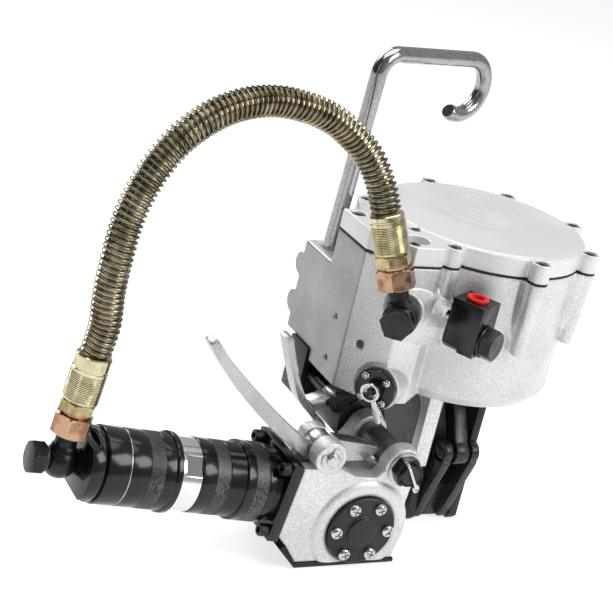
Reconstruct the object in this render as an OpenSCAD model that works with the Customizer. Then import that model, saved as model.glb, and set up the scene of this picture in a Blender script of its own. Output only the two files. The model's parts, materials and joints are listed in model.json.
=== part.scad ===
// Hand-held pneumatic strapping tool: a bevel-geared tensioner hinged under an air-cylinder
// crimping head, with a hanging hook, an armoured air hose and all moving pieces.
// Millimetres, +Z up.  X runs along the strap with the motor at -X, -Y is the operator side.
// The origin is on the resting plane, straight below the axis of the crimping cylinder.

/* [Crimping head] */
// Outer radius of the air cylinder
cyl_r = 79; // [70:1:90]
// Bore radius of the air cylinder
bore_r = 69; // [60:1:75]
// Height of the underside of the main casting
body_z = 118; // [110:1:125]
// Height of the joint between casting and cover
seam_z = 226; // [215:1:235]
// Height of the top of the cover
cover_z = 241; // [236:1:250]
// Pitch radius of the cover screws
ear_pcr = 84; // [75:1:95]
// Radius of each screw ear
ear_r = 7.5; // [6:0.5:11]

/* [Crimping jaws] */
// Outer half width of the two side plates
plate_x = 23; // [20:1:28]
// Thickness of a side plate
plate_t = 7; // [5:0.5:9]
// Half depth of a side plate
plate_y = 38; // [32:1:44]
// Distance of a jaw pivot from the centre plane
jaw_y = 26; // [22:1:30]
// Height of the jaw pivots
jaw_z = 30; // [26:1:36]
// Distance of a knee pin from the centre plane
knee_y = 47; // [42:1:50]
// Height of the knee pins
knee_z = 67; // [60:1:72]

/* [Tensioner] */
// X of the hinge between tensioner and frame
pivot_x = -75; // [-85:1:-65]
// Height of the hinge between tensioner and frame
pivot_z = 79.5; // [74:0.5:85]
// X of the feed wheel shaft
feed_x = -100; // [-110:1:-95]
// Height of the feed wheel shaft
feed_z = 31; // [28:1:34]
// Radius of the feed wheel over its teeth
feed_r = 26; // [22:0.5:27]
// Upward tilt of the air motor
motor_tilt = 8; // [0:1:12]
// Outer radius of the air motor barrel
motor_r = 27; // [24:0.5:29]

/* [Hook] */
// Diameter of the hook bar
hook_d = 12.5; // [10:0.5:14]
// Lean of the hook stem
hook_lean = 2.5; // [0:0.5:5]

/* [Hidden] */
$fn = 72;
// Running clearance between a pin and its bore
run = 0.05;
bore_floor_z = 150;
cavity_z = 140;
gasket_t = 1.6;
body_top = seam_z - gasket_t;
face_y = -92;
gear_back_y = -24;
motor_y = -62;
mount_x = -160;
mount_z = 52;
lever_x = -137;
lever_z = 89;
hook_x = -104;
hook_y = 34;
shelf_z = 198;
link_top_y = 10;
link_top_z = 130;
block_yaw = -60;
block_at = [-48, -86.5, 173];
block_w = 25;
block_h = 38;
inlet_z = 184;
banjo_yaw = -130;
banjo_lean = 22;
banjo_foot = [-93, -69, 193];
valve_yaw = -141;
valve_at = [-94.5, -62.6, 131];
valve_lever_turn = 30;
rod_r = 11;
screw_r = 3;
flange_pcr = 34.6;
cheek_x = 6;
jaw_w = 31;
hose_r = 11;
hose_route = [
  [-123, -61, 263], [-129, -56, 280], [-138, -49, 296], [-152, -43, 309], [-169, -40, 319],
  [-190, -39, 325], [-213, -39, 327], [-237, -43, 324], [-260, -48, 315], [-281, -53, 299],
  [-297, -57, 276], [-307, -60, 250], [-311, -62, 223], [-312, -62, 198], [-310.8, -62, 174.3],
  [-313.5, -62, 154.5]
];
hose_sides = 10;
hook_sides = 16;

// Hook: stem, elbow, level arm and open curl, before its lean and turn
hook_turn = 18;
hook_socket = 24;
hook_stem = 118;
elbow_r = 16;
curl_r = 22;
arm_end = 100;
arm_z = 151;
hook_elbow = [for (a = [180:-15:90]) [elbow_r + elbow_r * cos(a), 0, arm_z - elbow_r + elbow_r * sin(a)]];
hook_curl = [for (a = [90:-15:-120]) [arm_end + curl_r * cos(a), 0, arm_z - curl_r + curl_r * sin(a)]];
hook_path = concat([[0, 0, arm_end]], hook_elbow, hook_curl);

// Gearbox cap
cap_r = 26.8;
cap_spigot_r = 17.4;
cap_screw_pcr = 20.9;
cap_screw_r = 2.5;

// Air fittings: centre of the union body on the motor, hexagon of its bolts
fitting_s = 166.3;
bolt_af = 21;
fitting_neck_r = 7.5;
fitting_reach = 20.3;

// Release lever hinge
release_x = -110;
release_z = 106;

// Angles of the seven screw ears around the cylinder
ear_angles = [-135, -90, -45, 0, 45, 90, 135];
// Two more ears on the left extension of the casting
side_ears = [[-109, -3], [-84, 31]];
small_screws = [[-76, -29], [-92, -58]];

// Which node to show

// ---- helpers ----

module xz_slab(y0, y1) {
  translate([0, y1, 0]) rotate([90, 0, 0]) linear_extrude(y1 - y0) children();
}

module yz_slab(x0, x1) {
  translate([x0, 0, 0]) rotate([90, 0, 90]) linear_extrude(x1 - x0) children();
}

module rod_y(x, z, y0, y1, r) {
  translate([x, y1, z]) rotate([90, 0, 0]) cylinder(h = y1 - y0, r = r);
}

module rod_x(y, z, x0, x1, r) {
  translate([x0, y, z]) rotate([0, 90, 0]) cylinder(h = x1 - x0, r = r);
}

module hex(af, h) {
  cylinder(h = h, r = af / sqrt(3), $fn = 6);
}

// Turns children about the line along Y through x, z
module rotate_about(x, z, a) {
  translate([x, 0, z]) rotate([0, a, 0]) translate([-x, 0, -z]) children();
}

// Children at each of the six screws of the gearbox cap, as for one at +X
module at_cap_screws() {
  for (a = [0:60:300])
    rotate_about(feed_x, feed_z, a) translate([feed_x + cap_screw_pcr, 0, feed_z]) children();
}

// Places children with +X along the horizontal direction yaw
module facing(at, yaw) {
  translate(at) rotate([0, 0, yaw]) children();
}

// Motor frame: +Z runs out along the motor from the gearbox face
module on_motor(s = 0) {
  translate([mount_x, motor_y, mount_z]) rotate([0, -90 + motor_tilt, 0]) translate([0, 0, s]) children();
}

function unit(v) = v / norm(v);
function heading(path, i) = unit(path[min(i + 1, len(path) - 1)] - path[max(i - 1, 0)]);
function sideways(path, i) = unit(cross(heading(path, i), [0.1, 1, 0.05]));
function ring_point(path, r, sides, i, k) = path[i]
  + r * cos(360 * k / sides) * sideways(path, i)
  + r * sin(360 * k / sides) * cross(heading(path, i), sideways(path, i));

// Round bar of radius r swept along a path of points
module tube(path, r, sides) {
  n = len(path);
  polyhedron(
    points = [for (i = [0:n - 1]) for (k = [0:sides - 1]) ring_point(path, r, sides, i, k)],
    faces = concat(
      [[for (k = [0:sides - 1]) k]],
      [[for (k = [sides - 1:-1:0]) (n - 1) * sides + k]],
      [for (i = [0:n - 2]) for (k = [0:sides - 1])
        [i * sides + k, (i + 1) * sides + k, (i + 1) * sides + (k + 1) % sides,
         i * sides + (k + 1) % sides]]));
}

// Outline of the cover: cylinder, its ears and the extension towards the motor
module cover_outline() {
  circle(r = cyl_r);
  polygon([[-117, -37], [-94, -66], [-71, -66], [-58, -55], [-20, -60], [-20, 60],
           [-58, 56], [-82, 40], [-90, 36], [-104, 6], [-117, 6]]);
  for (a = ear_angles) rotate(a) translate([ear_pcr, 0]) circle(r = ear_r);
}

// ---- crimping head ----

module main_housing() {
  color("silver") difference() {
    union() {
      translate([0, 0, body_z]) cylinder(h = 8, r1 = cyl_r - 7, r2 = cyl_r);
      translate([0, 0, body_z + 8]) cylinder(h = body_top - body_z - 8, r = cyl_r);
      for (a = ear_angles) rotate([0, 0, a]) translate([ear_pcr, 0, body_top - 57])
        cylinder(h = 57, r1 = 5, r2 = ear_r);
      translate([0, 0, body_z]) linear_extrude(body_top - body_z)
        polygon([[-117, -37], [-94, -66], [-71, -66], [-58, -55], [-40, -40], [-40, 40],
                 [-58, 56], [-82, 40], [-90, 36], [-104, 6], [-117, 6]]);
      translate([0, 0, 127]) linear_extrude(shelf_z - 127)
        polygon([[-117, 0], [-60, 0], [-60, 54], [-90, 54], [-96, 49], [-117, 49]]);
      rod_x(50, 178, -117, -92, 9);
      rod_x(50, 147, -117, -92, 9);
      facing([block_at[0], block_at[1], inlet_z], 180 + block_yaw) rotate([0, 90, 0])
        translate([0, 0, block_w / 2 + 0.05]) cylinder(h = 22, r = 15);
      facing(banjo_foot, banjo_yaw) rotate([0, 90, 0]) translate([0, 0, -22]) cylinder(h = 24, r = 14);
      facing(valve_at, valve_yaw) rotate([0, 90, 0]) translate([0, 0, -20]) cylinder(h = 24, r = 17);
      translate([-40, -52, 57]) cube([12, 26, body_z - 57 + 12]);
    }
    translate([0, 0, bore_floor_z]) cylinder(h = 100, r = bore_r);
    translate([0, 0, cavity_z - 1]) cylinder(h = 20, r = 15);
    translate([-plate_x - run, -56, body_z - 1]) cube([2 * (plate_x + run), 112, cavity_z - body_z + 1]);
    for (a = ear_angles)
      rotate([0, 0, a]) translate([ear_pcr, 0, body_top - 30]) cylinder(h = 40, r = screw_r + run);
    for (p = side_ears) translate([p[0], p[1], body_top - 20]) cylinder(h = 30, r = screw_r + run);
    for (p = small_screws) translate([p[0], p[1], body_top - 20]) cylinder(h = 30, r = 2.5 + run);
    hook_place() translate([0, 0, -26]) cylinder(h = 60, r = hook_d / 2 + run);
    rod_x(-18, 165, -118, -98, 2.5);
    rod_x(-18, 132, -118, -98, 2.5);
    facing([-108, -45.9, 156.4], valve_yaw) rotate([0, 90, 0])
      translate([0, 0, -10]) cylinder(h = 20, r = 3);
    facing(banjo_foot, banjo_yaw) rotate([0, 90, 0]) translate([0, 0, -18]) cylinder(h = 24, r = 5);
    facing(valve_at, valve_yaw) rotate([0, 90, 0]) translate([0, 0, -16]) cylinder(h = 24, r = 7);
    facing([block_at[0], block_at[1], inlet_z], 180 + block_yaw) rotate([0, 90, 0])
      cylinder(h = 26, r = 6);
  }
}

module cover_gasket() {
  color("dimgray") translate([0, 0, body_top]) linear_extrude(gasket_t) difference() {
    cover_outline();
    circle(r = bore_r);
    for (a = ear_angles) rotate(a) translate([ear_pcr, 0]) circle(r = screw_r + run);
    for (p = side_ears) translate(p) circle(r = screw_r + run);
    for (p = small_screws) translate(p) circle(r = 2.5 + run);
  }
}

module cylinder_cover() {
  color("whitesmoke") difference() {
    union() {
      translate([0, 0, seam_z]) linear_extrude(cover_z - seam_z - 1) cover_outline();
      translate([0, 0, seam_z]) cylinder(h = cover_z - seam_z, r = cyl_r - 3);
    }
    translate([0, 0, seam_z - 1]) cylinder(h = 6, r = bore_r);
    for (a = ear_angles) rotate([0, 0, a]) translate([ear_pcr, 0, seam_z - 1]) {
      cylinder(h = 30, r = screw_r + run);
      translate([0, 0, 8]) cylinder(h = 20, r = 5.3);
    }
    for (p = side_ears) translate([p[0], p[1], seam_z - 1]) {
      cylinder(h = 30, r = screw_r + run);
      translate([0, 0, 8]) cylinder(h = 20, r = 5.3);
    }
    for (p = small_screws) translate([p[0], p[1], seam_z - 1]) {
      cylinder(h = 30, r = 2.5 + run);
      translate([0, 0, 10]) cylinder(h = 20, r = 4.3);
    }
    translate([-85, -50, seam_z + 4]) cylinder(h = 20, r = 9);
  }
}

module socket_screw(top, r, head_r, head_h, len) {
  translate([0, 0, top - head_h]) difference() {
    cylinder(h = head_h, r = head_r);
    translate([0, 0, head_h / 2]) hex(head_r * 0.95, head_h);
  }
  translate([0, 0, top - head_h - len]) cylinder(h = len, r = r);
}

module cover_screws() {
  color("gray") {
    for (a = ear_angles) rotate([0, 0, a]) translate([ear_pcr, 0, 0])
      socket_screw(cover_z - 2, screw_r, 5, 6, 28);
    for (p = side_ears) translate([p[0], p[1], 0]) socket_screw(cover_z - 2, screw_r, 5, 6, 18);
    for (p = small_screws) translate([p[0], p[1], 0]) socket_screw(cover_z - 1.2, 2.5, 4, 4.8, 18);
  }
}

module rod_bush() {
  color("goldenrod") translate([0, 0, cavity_z]) difference() {
    cylinder(h = bore_floor_z - cavity_z, r = 14.95);
    translate([0, 0, -1]) cylinder(h = 30, r = rod_r + run);
  }
}

module side_plate(x0) {
  difference() {
    yz_slab(x0, x0 + plate_t) polygon([[-plate_y, 4], [-plate_y + 4, 0], [-17, 0], [-17, 9], [17, 9],
      [17, 0], [plate_y - 4, 0], [plate_y, 4], [plate_y, cavity_z - 0.3], [-plate_y, cavity_z - 0.3]]);
    for (s = [-1, 1]) rod_x(s * jaw_y, jaw_z, x0 - 1, x0 + plate_t + 1, 6);
  }
}

module side_plate_left() {
  color("dimgray") side_plate(-plate_x);
}

module side_plate_right() {
  color("dimgray") side_plate(plate_x - plate_t);
}

module jaw_pins() {
  color("gray") for (s = [-1, 1]) rod_x(s * jaw_y, jaw_z, -plate_x - 2, plate_x + 2, 5.98);
}

module strap_foot() {
  color("gray") translate([-134, -22, 0]) cube([134 - plate_x - 0.02, 44, 3]);
}

module frame_bracket() {
  color("dimgray") difference() {
    union() {
      rod_y(pivot_x, pivot_z, -22, 26, 20);
      xz_slab(-20, 24) polygon([[-117, 117.9], [-48, 117.9], [-52, 100], [-58, 88], [-75, 64], [-92, 76],
        [-94, 90], [-99, 102], [-102, 112]]);
      xz_slab(6.2, 34) polygon([[-119, 126.9], [-104.1, 126.9], [-104.1, 86], [-119, 86]]);
      translate([-106, 6.3, 92]) cube([26, 17.6, 12]);
    }
    rod_y(pivot_x, pivot_z, -30, 40, 8);
    rod_y(release_x, release_z, -40, 60, 5);
  }
}

module inlet_block() {
  color("black") facing(block_at, block_yaw) difference() {
    translate([-block_w / 2, -block_w / 2, 0]) cube([block_w, block_w, block_h]);
    translate([0, 0, block_h - 14]) cylinder(h = 20, r = 6.6);
    translate([-30, 0, inlet_z - block_at[2]]) rotate([0, 90, 0]) cylinder(h = 60, r = 6);
    translate([-20, -block_w / 2, 0]) rotate([45, 0, 0]) cube([40, 5, 5], center = true);
  }
}

module inlet_plug() {
  color("red") facing(block_at, block_yaw) difference() {
    union() {
      translate([0, 0, block_h - 9]) cylinder(h = 9, r = 6.55);
      translate([0, 0, block_h + 0.02]) cylinder(h = 2, r = 8);
      translate([0, 0, block_h - 0.5]) cylinder(h = 1, r = 6.5);
    }
    translate([0, 0, block_h - 2]) cylinder(h = 10, r = 4.6);
  }
}

module inlet_bolt() {
  color("dimgray") facing([block_at[0], block_at[1], inlet_z], block_yaw) rotate([0, 90, 0]) {
    translate([0, 0, block_w / 2 + 0.02]) cylinder(h = 2, r = 12);
    translate([0, 0, block_w / 2 + 2]) hex(bolt_af, 9);
    translate([0, 0, -block_w / 2 - 12]) cylinder(h = block_w + 15, r = 5.95);
  }
}

// Union body hose: a ring on a hollow bolt, with a neck along the hose
module banjo_frame() {
  facing(banjo_foot, banjo_yaw) rotate([0, 90, 0]) children();
}

module body_banjo() {
  color("black") banjo_frame() difference() {
    union() {
      translate([0, 0, 2.05]) cylinder(h = 1.5, r = 12);
      translate([0, 0, 3.5]) cylinder(h = 19, r = 12.5);
      translate([0, 0, 22.5]) cylinder(h = 1.5, r = 12);
      translate([0, 0, 13]) rotate([0, -90, 0]) rotate([banjo_lean, 0, 0]) cylinder(h = 26, r = 7.5);
    }
    translate([0, 0, -10]) cylinder(h = 60, r = 7);
    translate([0, 0, 13]) rotate([0, -90, 0]) rotate([banjo_lean, 0, 0]) cylinder(h = 50, r = 4);
  }
}

module body_banjo_bolt() {
  color("black") banjo_frame() {
    translate([0, 0, 24.05]) hex(bolt_af, 9);
    translate([0, 0, -12]) cylinder(h = 14.05, r = 4.95);
    translate([0, 0, 2.05]) cylinder(h = 22.5, r = 6.95);
  }
}

module hose_end(neck_r, af, len) {
  difference() {
    union() {
      hex(af, 15);
      translate([0, 0, 15]) hex(af - 2, 8);
      translate([0, 0, 23]) cylinder(h = len - 23, r = hose_r + 1.6);
    }
    translate([0, 0, -1]) cylinder(h = 7, r = neck_r + run);
    translate([0, 0, -1]) cylinder(h = len - 2, r = 4);
  }
}

module body_hose_end() {
  color("goldenrod") banjo_frame() translate([0, 0, 13]) rotate([0, -90, 0]) rotate([banjo_lean, 0, 0])
    translate([0, 0, fitting_reach]) hose_end(fitting_neck_r, 24, 54);
}

module valve_flange() {
  color("black") facing(valve_at, valve_yaw) rotate([0, 90, 0]) translate([0, 0, 4.05]) difference() {
    cylinder(h = 5, r = 15.5);
    for (a = [45:90:315]) rotate([0, 0, a]) translate([11.5, 0, -1]) cylinder(h = 10, r = 1.6);
    translate([0, 0, -1]) cylinder(h = 10, r = 4.05);
  }
}

module valve_screws() {
  color("silver") facing(valve_at, valve_yaw) rotate([0, 90, 0]) translate([0, 0, 4.05])
    for (a = [45:90:315]) rotate([0, 0, a]) translate([11.5, 0, 0]) {
      translate([0, 0, 5.02]) cylinder(h = 2.2, r = 2.9);
      translate([0, 0, 0.05]) cylinder(h = 5.2, r = 1.55);
    }
}

module valve_lever() {
  color("silver") facing(valve_at, valve_yaw) rotate([0, 90, 0]) translate([0, 0, 4.05]) {
    translate([0, 0, -14]) cylinder(h = 21, r = 4);
    translate([0, 0, 5.3]) cylinder(h = 8, r = 7.3);
    rotate([0, 0, valve_lever_turn]) translate([0, 0, 8]) linear_extrude(4)
      polygon([[0, -2.5], [20, -3.5], [23, -2.2], [24, 0], [23, 2.2], [20, 3.5], [0, 2.5]]);
  }
}

// ---- hinge between head and tensioner ----

module pivot_bolt() {
  color("dimgray") {
    rod_y(pivot_x, pivot_z, -104, 26, 7.95);
    translate([pivot_x, 35, pivot_z]) rotate([90, 0, 0]) hex(22, 8.95);
  }
}

module pivot_washer() {
  color("silver") difference() {
    rod_y(pivot_x, pivot_z, -94.1, -92.1, 13);
    rod_y(pivot_x, pivot_z, -96, -90, 8);
  }
}

module castle_nut() {
  color("dimgray") translate([pivot_x, -94.15, pivot_z]) rotate([90, 0, 0]) difference() {
    union() {
      hex(20, 6);
      translate([0, 0, 6]) cylinder(h = 4, r = 9);
    }
    translate([0, 0, -1]) cylinder(h = 20, r = 8);
    for (a = [0:60:120]) rotate([0, 0, a]) translate([0, 0, 9]) cube([30, 3, 5], center = true);
  }
}

// Split pin through the castle nut: two ends and the bar across the nut's face
module cotter_pin() {
  color("silver") translate([pivot_x, -102.5, pivot_z]) rotate([0, 150, 0]) {
    translate([0, 0, 8.1]) cylinder(h = 3.5, r = 1.2);
    translate([0, 0, -11.6]) cylinder(h = 3.5, r = 1.2);
    translate([0, -2.9, -11.6]) cylinder(h = 23.2, r = 1.2);
    translate([0, -1.4, 10]) cube([2.4, 4, 2.4], center = true);
    translate([0, -1.4, -10.4]) cube([2.4, 4, 2.4], center = true);
  }
}

module pivot_sleeve() {
  color("rosybrown") difference() {
    rod_y(pivot_x, pivot_z, -79.9, -38.1, 10.5);
    rod_y(pivot_x, pivot_z, -90, -30, 8);
  }
}

// ---- piston and toggle ----

module piston() {
  color("silver") translate([0, 0, 204]) difference() {
    cylinder(h = 16, r = bore_r - 0.05);
    translate([0, 0, 6]) difference() {
      cylinder(h = 5, r = bore_r + 1);
      translate([0, 0, -1]) cylinder(h = 7, r = bore_r - 5);
    }
    translate([0, 0, -1]) cylinder(h = 30, r = 6);
  }
}

module piston_seal() {
  color("black") translate([0, 0, 210.1]) difference() {
    cylinder(h = 4.8, r = bore_r - 0.05);
    translate([0, 0, -1]) cylinder(h = 8, r = bore_r - 4.95);
  }
}

module piston_rod() {
  color("silver") difference() {
    union() {
      translate([0, 0, 203.95]) cylinder(h = 14, r = 5.95);
      translate([0, 0, 139]) cylinder(h = 64.95, r = rod_r);
      translate([-13, -20, 119]) cube([26, 40, 20.6]);
    }
    translate([-cheek_x, -30, 110]) cube([2 * cheek_x, 60, 29.2]);
    for (s = [-1, 1]) rod_x(s * link_top_y, link_top_z, -20, 20, 4);
  }
}

module link_pins() {
  color("gray") for (s = [-1, 1]) rod_x(s * link_top_y, link_top_z, -13.5, 13.5, 3.95);
}

module return_spring() {
  color("gray") for (i = [0:5])
    translate([0, 0, 154 + i * 9.2]) rotate_extrude() translate([32, 0]) circle(r = 2.6);
}

module toggle_link(s) {
  run_y = knee_y - link_top_y;
  fall = link_top_z - knee_z;
  length = sqrt(run_y * run_y + fall * fall);
  translate([-5.5, s * link_top_y, link_top_z]) rotate([s * atan2(run_y, fall), 0, 0]) difference() {
    union() {
      rotate([0, 90, 0]) cylinder(h = 11, r = 8.5);
      translate([0, -7, -length]) cube([11, 14, length]);
      translate([0, 0, -length]) rotate([0, 90, 0]) cylinder(h = 11, r = 9.5);
    }
    translate([-1, 0, 0]) rotate([0, 90, 0]) cylinder(h = 13, r = 4);
    translate([-1, 0, -length]) rotate([0, 90, 0]) cylinder(h = 13, r = 6);
  }
}

module link_front() {
  color("dimgray") toggle_link(-1);
}

module link_back() {
  color("dimgray") toggle_link(1);
}

module jaw(s) {
  difference() {
    union() {
      yz_slab(-jaw_w / 2, jaw_w / 2) polygon([[s * 19, 3], [s * 21, 1], [s * 33, 1], [s * 37, 9],
        [s * 38, 34], [s * 56, 66], [s * 38, 68], [s * 33, 62], [s * 19, 40], [s * 18, 20]]);
      rod_x(s * knee_y, knee_z, -jaw_w / 2, jaw_w / 2, 9);
    }
    translate([-8.5, -80, 40]) cube([17, 160, 50]);
    rod_x(s * jaw_y, jaw_z, -40, 40, 6.06);
    rod_x(s * knee_y, knee_z, -40, 40, 5);
  }
}

module jaw_front() {
  color("gray") jaw(-1);
}

module jaw_back() {
  color("gray") jaw(1);
}

module knee_pin(s) {
  rod_x(s * knee_y, knee_z, -17.5, 17.5, 4.95);
}

module knee_pin_front() {
  color("silver") knee_pin(-1);
}

module knee_pin_back() {
  color("silver") knee_pin(1);
}

// ---- hook and small levers ----

module hook_place() {
  translate([hook_x, hook_y, shelf_z]) rotate([0, hook_lean, 0]) children();
}

module hook() {
  color("lightgray") hook_place() {
    translate([0, 0, -hook_socket]) cylinder(h = hook_socket + hook_stem, r = hook_d / 2);
    rotate([0, 0, hook_turn]) tube(hook_path, hook_d / 2 - 0.1, hook_sides);
  }
}

module rear_lever() {
  color("gainsboro") {
    xz_slab(-38, -24) polygon([[-163, 155], [-157.5, 156], [-147, 128], [-137, 110], [-116, 88], [-113, 82],
      [-117, 80], [-121, 86], [-142, 107], [-151, 126]]);
    difference() {
      rod_y(release_x, release_z, -38, -24, 7);
      rod_y(release_x, release_z, -60, 0, 5);
    }
    xz_slab(-38, -24) polygon([[-131, 104], [-127, 97], [-116.5, 104], [-116.5, 110]]);
  }
}

module rear_lever_pin() {
  color("dimgray") {
    rod_y(release_x, release_z, -42, 40, 4.95);
    translate([release_x, -38.1, release_z]) rotate([90, 0, 0]) cylinder(h = 4, r = 8);
  }
}

// ---- tensioner ----

module gearbox_housing() {
  color("silver") difference() {
    union() {
      xz_slab(face_y, gear_back_y) polygon([[-146, 4], [-66, 4], [-63, 20], [-66, 52], [-74, 64],
        [-96, 72], [-126, 74], [-156.5, 74], [-163.3, 27]]);
      xz_slab(face_y, -80) polygon([[-155.9, 80], [-126, 80], [-110, 72], [-96, 72], [-75, 93], [-63, 80],
        [-66, 50], [-157, 50]]);
      rod_y(pivot_x, pivot_z, face_y, -80, 14);
      rod_y(pivot_x, pivot_z, -38, gear_back_y, 14);
      xz_slab(-38, gear_back_y) polygon([[-96, 70], [-85, 90], [-62, 76], [-66, 50], [-96, 50]]);
      rod_y(lever_x, lever_z, face_y, -80, 11.5);
      rod_y(lever_x, lever_z, -66, -56, 11.5);
      xz_slab(-66, -56) polygon([[-148, 86], [-126, 86], [-120, 70], [-152, 70]]);
    }
    rod_y(feed_x, feed_z, -84, -40, 24);
    rod_y(feed_x, feed_z, -100, -80, 17.5);
    rod_y(feed_x, feed_z, -50, 0, 14);
    at_cap_screws() rod_y(0, 0, -100, -80, cap_screw_r);
    on_motor(-50) cylinder(h = 64, r = 13);
    rod_y(pivot_x, pivot_z, -100, 0, 8);
    rod_y(lever_x, lever_z, -100, -40, 5);
    on_motor(-14) for (a = [45:90:315])
      rotate([0, 0, a]) translate([flange_pcr, 0, 0]) cylinder(h = 30, r = 3);
    rod_y(pivot_x, pivot_z, -79.95, -38.05, 16);
    translate([-160, -79.6, 75.5]) cube([80, 13.2, 40]);
  }
}

module gearbox_cover() {
  color("dimgray") difference() {
    union() {
      rod_y(feed_x, feed_z, -97, face_y - 0.05, cap_r);
      rod_y(feed_x, feed_z, face_y - 0.05, -82, cap_spigot_r);
      rod_y(feed_x, feed_z, -99.5, -97, 11);
    }
    rod_y(feed_x, feed_z, -90, -70, 13);
    at_cap_screws() rod_y(0, 0, -100, -80, cap_screw_r);
  }
}

module gearbox_cover_screws() {
  color("white") at_cap_screws() {
    rod_y(0, 0, -100.6, -97.02, 4.7);
    rod_y(0, 0, -97.1, -84.5, cap_screw_r);
  }
}

module foot_plate() {
  color("dimgray") xz_slab(face_y - 1, gear_back_y) polygon([[-146, 0], [-64, 1], [-64, 3.95], [-146, 3.95],
    [-157.2, 18.9], [-161.6, 16.5]]);
}

module motor_flange() {
  color("black") on_motor(0.05) difference() {
    union() {
      translate([-30, -30, 0]) cube([60, 60, 8]);
      translate([0, 0, 8]) cylinder(h = 5, r = 26);
    }
    translate([0, 0, -1]) cylinder(h = 30, r = 10);
    for (a = [45:90:315]) rotate([0, 0, a]) translate([flange_pcr, 0, -1]) cylinder(h = 12, r = 3);
  }
}

module flange_screws() {
  color("black") for (a = [45:90:315]) on_motor(0) rotate([0, 0, a]) translate([flange_pcr, 0, 0]) {
    translate([0, 0, 8.1]) difference() {
      cylinder(h = 7, r = 4.6);
      translate([0, 0, 4]) hex(5, 8);
    }
    translate([0, 0, -13]) cylinder(h = 21.2, r = 2.95);
  }
}

module gear_barrel() {
  color("dimgray") on_motor(13.1) difference() {
    union() {
      cylinder(h = 24, r = 28.5);
      translate([0, 0, 24]) cylinder(h = 34, r = 26.5);
    }
    translate([0, 0, -1]) cylinder(h = 70, r = 22);
  }
}

module lock_collar() {
  color("white") on_motor(71.15) difference() {
    cylinder(h = 16, r = 26);
    translate([0, 0, -1]) cylinder(h = 30, r = 22);
    for (a = [0:120:240]) rotate([0, 0, a + 100]) translate([0, 30, 7]) cube([24, 10, 12], center = true);
  }
}

module motor_barrel() {
  color("black") on_motor(87.2) difference() {
    union() {
      cylinder(h = 5, r = 28.5);
      translate([0, 0, 5]) cylinder(h = 50, r = motor_r);
    }
    translate([0, 0, -1]) cylinder(h = 80, r = 22);
  }
}

module end_cap() {
  color("black") on_motor(142.25) difference() {
    union() {
      cylinder(h = 2, r = 24);
      translate([0, 0, 2]) cylinder(h = 9.5, r = 26);
    }
    translate([0, 0, -1]) cylinder(h = 5, r = 22);
    translate([0, 0, 3]) cylinder(h = 40, r = 6.5);
    for (s = [-1, 1]) translate([s * 29, 0, 14]) cube([20, 80, 20], center = true);
  }
}

module rotor() {
  color("gray") on_motor(0) {
    translate([0, 0, 64]) difference() {
      cylinder(h = 60, r = 16);
      for (a = [0:72:288]) rotate([0, 0, a]) translate([8, -1, -1]) cube([12, 2, 70]);
    }
    translate([0, 0, 34]) cylinder(h = 30, r = 5);
    translate([0, 0, 124]) cylinder(h = 10, r = 5);
  }
}

module pinion_shaft() {
  color("gray") on_motor(0) {
    translate([0, 0, -45]) cylinder(h = 17, r = 7.2);
    translate([0, 0, -45]) for (i = [0:11])
      rotate([0, 0, i * 30]) translate([6, -0.7, 0]) cube([3.2, 1.4, 10]);
    translate([0, 0, -30]) cylinder(h = 52, r = 8);
    translate([0, 0, 20]) difference() {
      cylinder(h = 12, r = 20);
      for (a = [0:120:240]) rotate([0, 0, a]) translate([13, 0, 4]) cylinder(h = 20, r = 3);
    }
  }
}

module crown_gear() {
  color("gray") difference() {
    union() {
      rod_y(feed_x, feed_z, -81, -72.4, 22.5);
      for (i = [0:23]) rotate_about(feed_x, feed_z, (i + 0.5) * 15 + motor_tilt)
        translate([feed_x - 19, -72.6, feed_z + 11.8]) cube([5, 2, 1.3]);
    }
    rod_y(feed_x, feed_z, -100, 0, 8.0);
  }
}

module feed_shaft() {
  color("gray") rod_y(feed_x, feed_z, -89, 10, 7.95);
}

module shaft_bearings() {
  color("silver") {
    difference() {
      rod_y(feed_x, feed_z, -89.5, -82.5, 12.95);
      rod_y(feed_x, feed_z, -95, -70, 8);
    }
    difference() {
      rod_y(feed_x, feed_z, -39.5, -26, 13.95);
      rod_y(feed_x, feed_z, -50, 0, 8);
    }
  }
}

module feed_wheel() {
  color("gray") difference() {
    rod_y(feed_x, feed_z, -8, 9, feed_r);
    rod_y(feed_x, feed_z, -20, 20, 8);
    for (a = [0:10:350]) rotate_about(feed_x, feed_z, a) translate([feed_x + feed_r, 0, feed_z])
      rotate([0, 45, 0]) cube([2, 40, 2], center = true);
  }
}

module lift_lever() {
  color("white") {
    difference() {
      union() {
        rod_y(lever_x, lever_z, -79, -67, 11);
        xz_slab(-79, -67) polygon([[-148, 93], [-172, 110], [-204, 138], [-229, 162], [-236, 172],
          [-241, 169], [-233, 158], [-209, 131], [-178, 103], [-146, 80]]);
        xz_slab(-79, -67) polygon([[-137, 99], [-93, 90], [-92, 85], [-102, 78.5], [-130, 80]]);
      }
      rod_y(lever_x, lever_z, -90, -50, 5);
    }
  }
}

module lift_pin() {
  color("silver") {
    rod_y(lever_x, lever_z, -97, -54, 4.95);
    rod_y(lever_x, lever_z, -54.1, -51, 8);
  }
}

// ---- motor air fitting ----

module motor_banjo() {
  color("black") on_motor(0) difference() {
    union() {
      translate([0, 0, 154.4]) cylinder(h = 23, r = 9);
      translate([0, 12, fitting_s]) rotate([90, 0, 0]) cylinder(h = 24, r = 11.5);
      translate([0, 0, fitting_s]) rotate([0, 90, 0]) cylinder(h = 26, r = fitting_neck_r);
    }
    translate([0, 0, 150]) cylinder(h = 40, r = 6.5);
    translate([8, 0, fitting_s]) rotate([0, 90, 0]) cylinder(h = 26, r = 4);
  }
}

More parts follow.
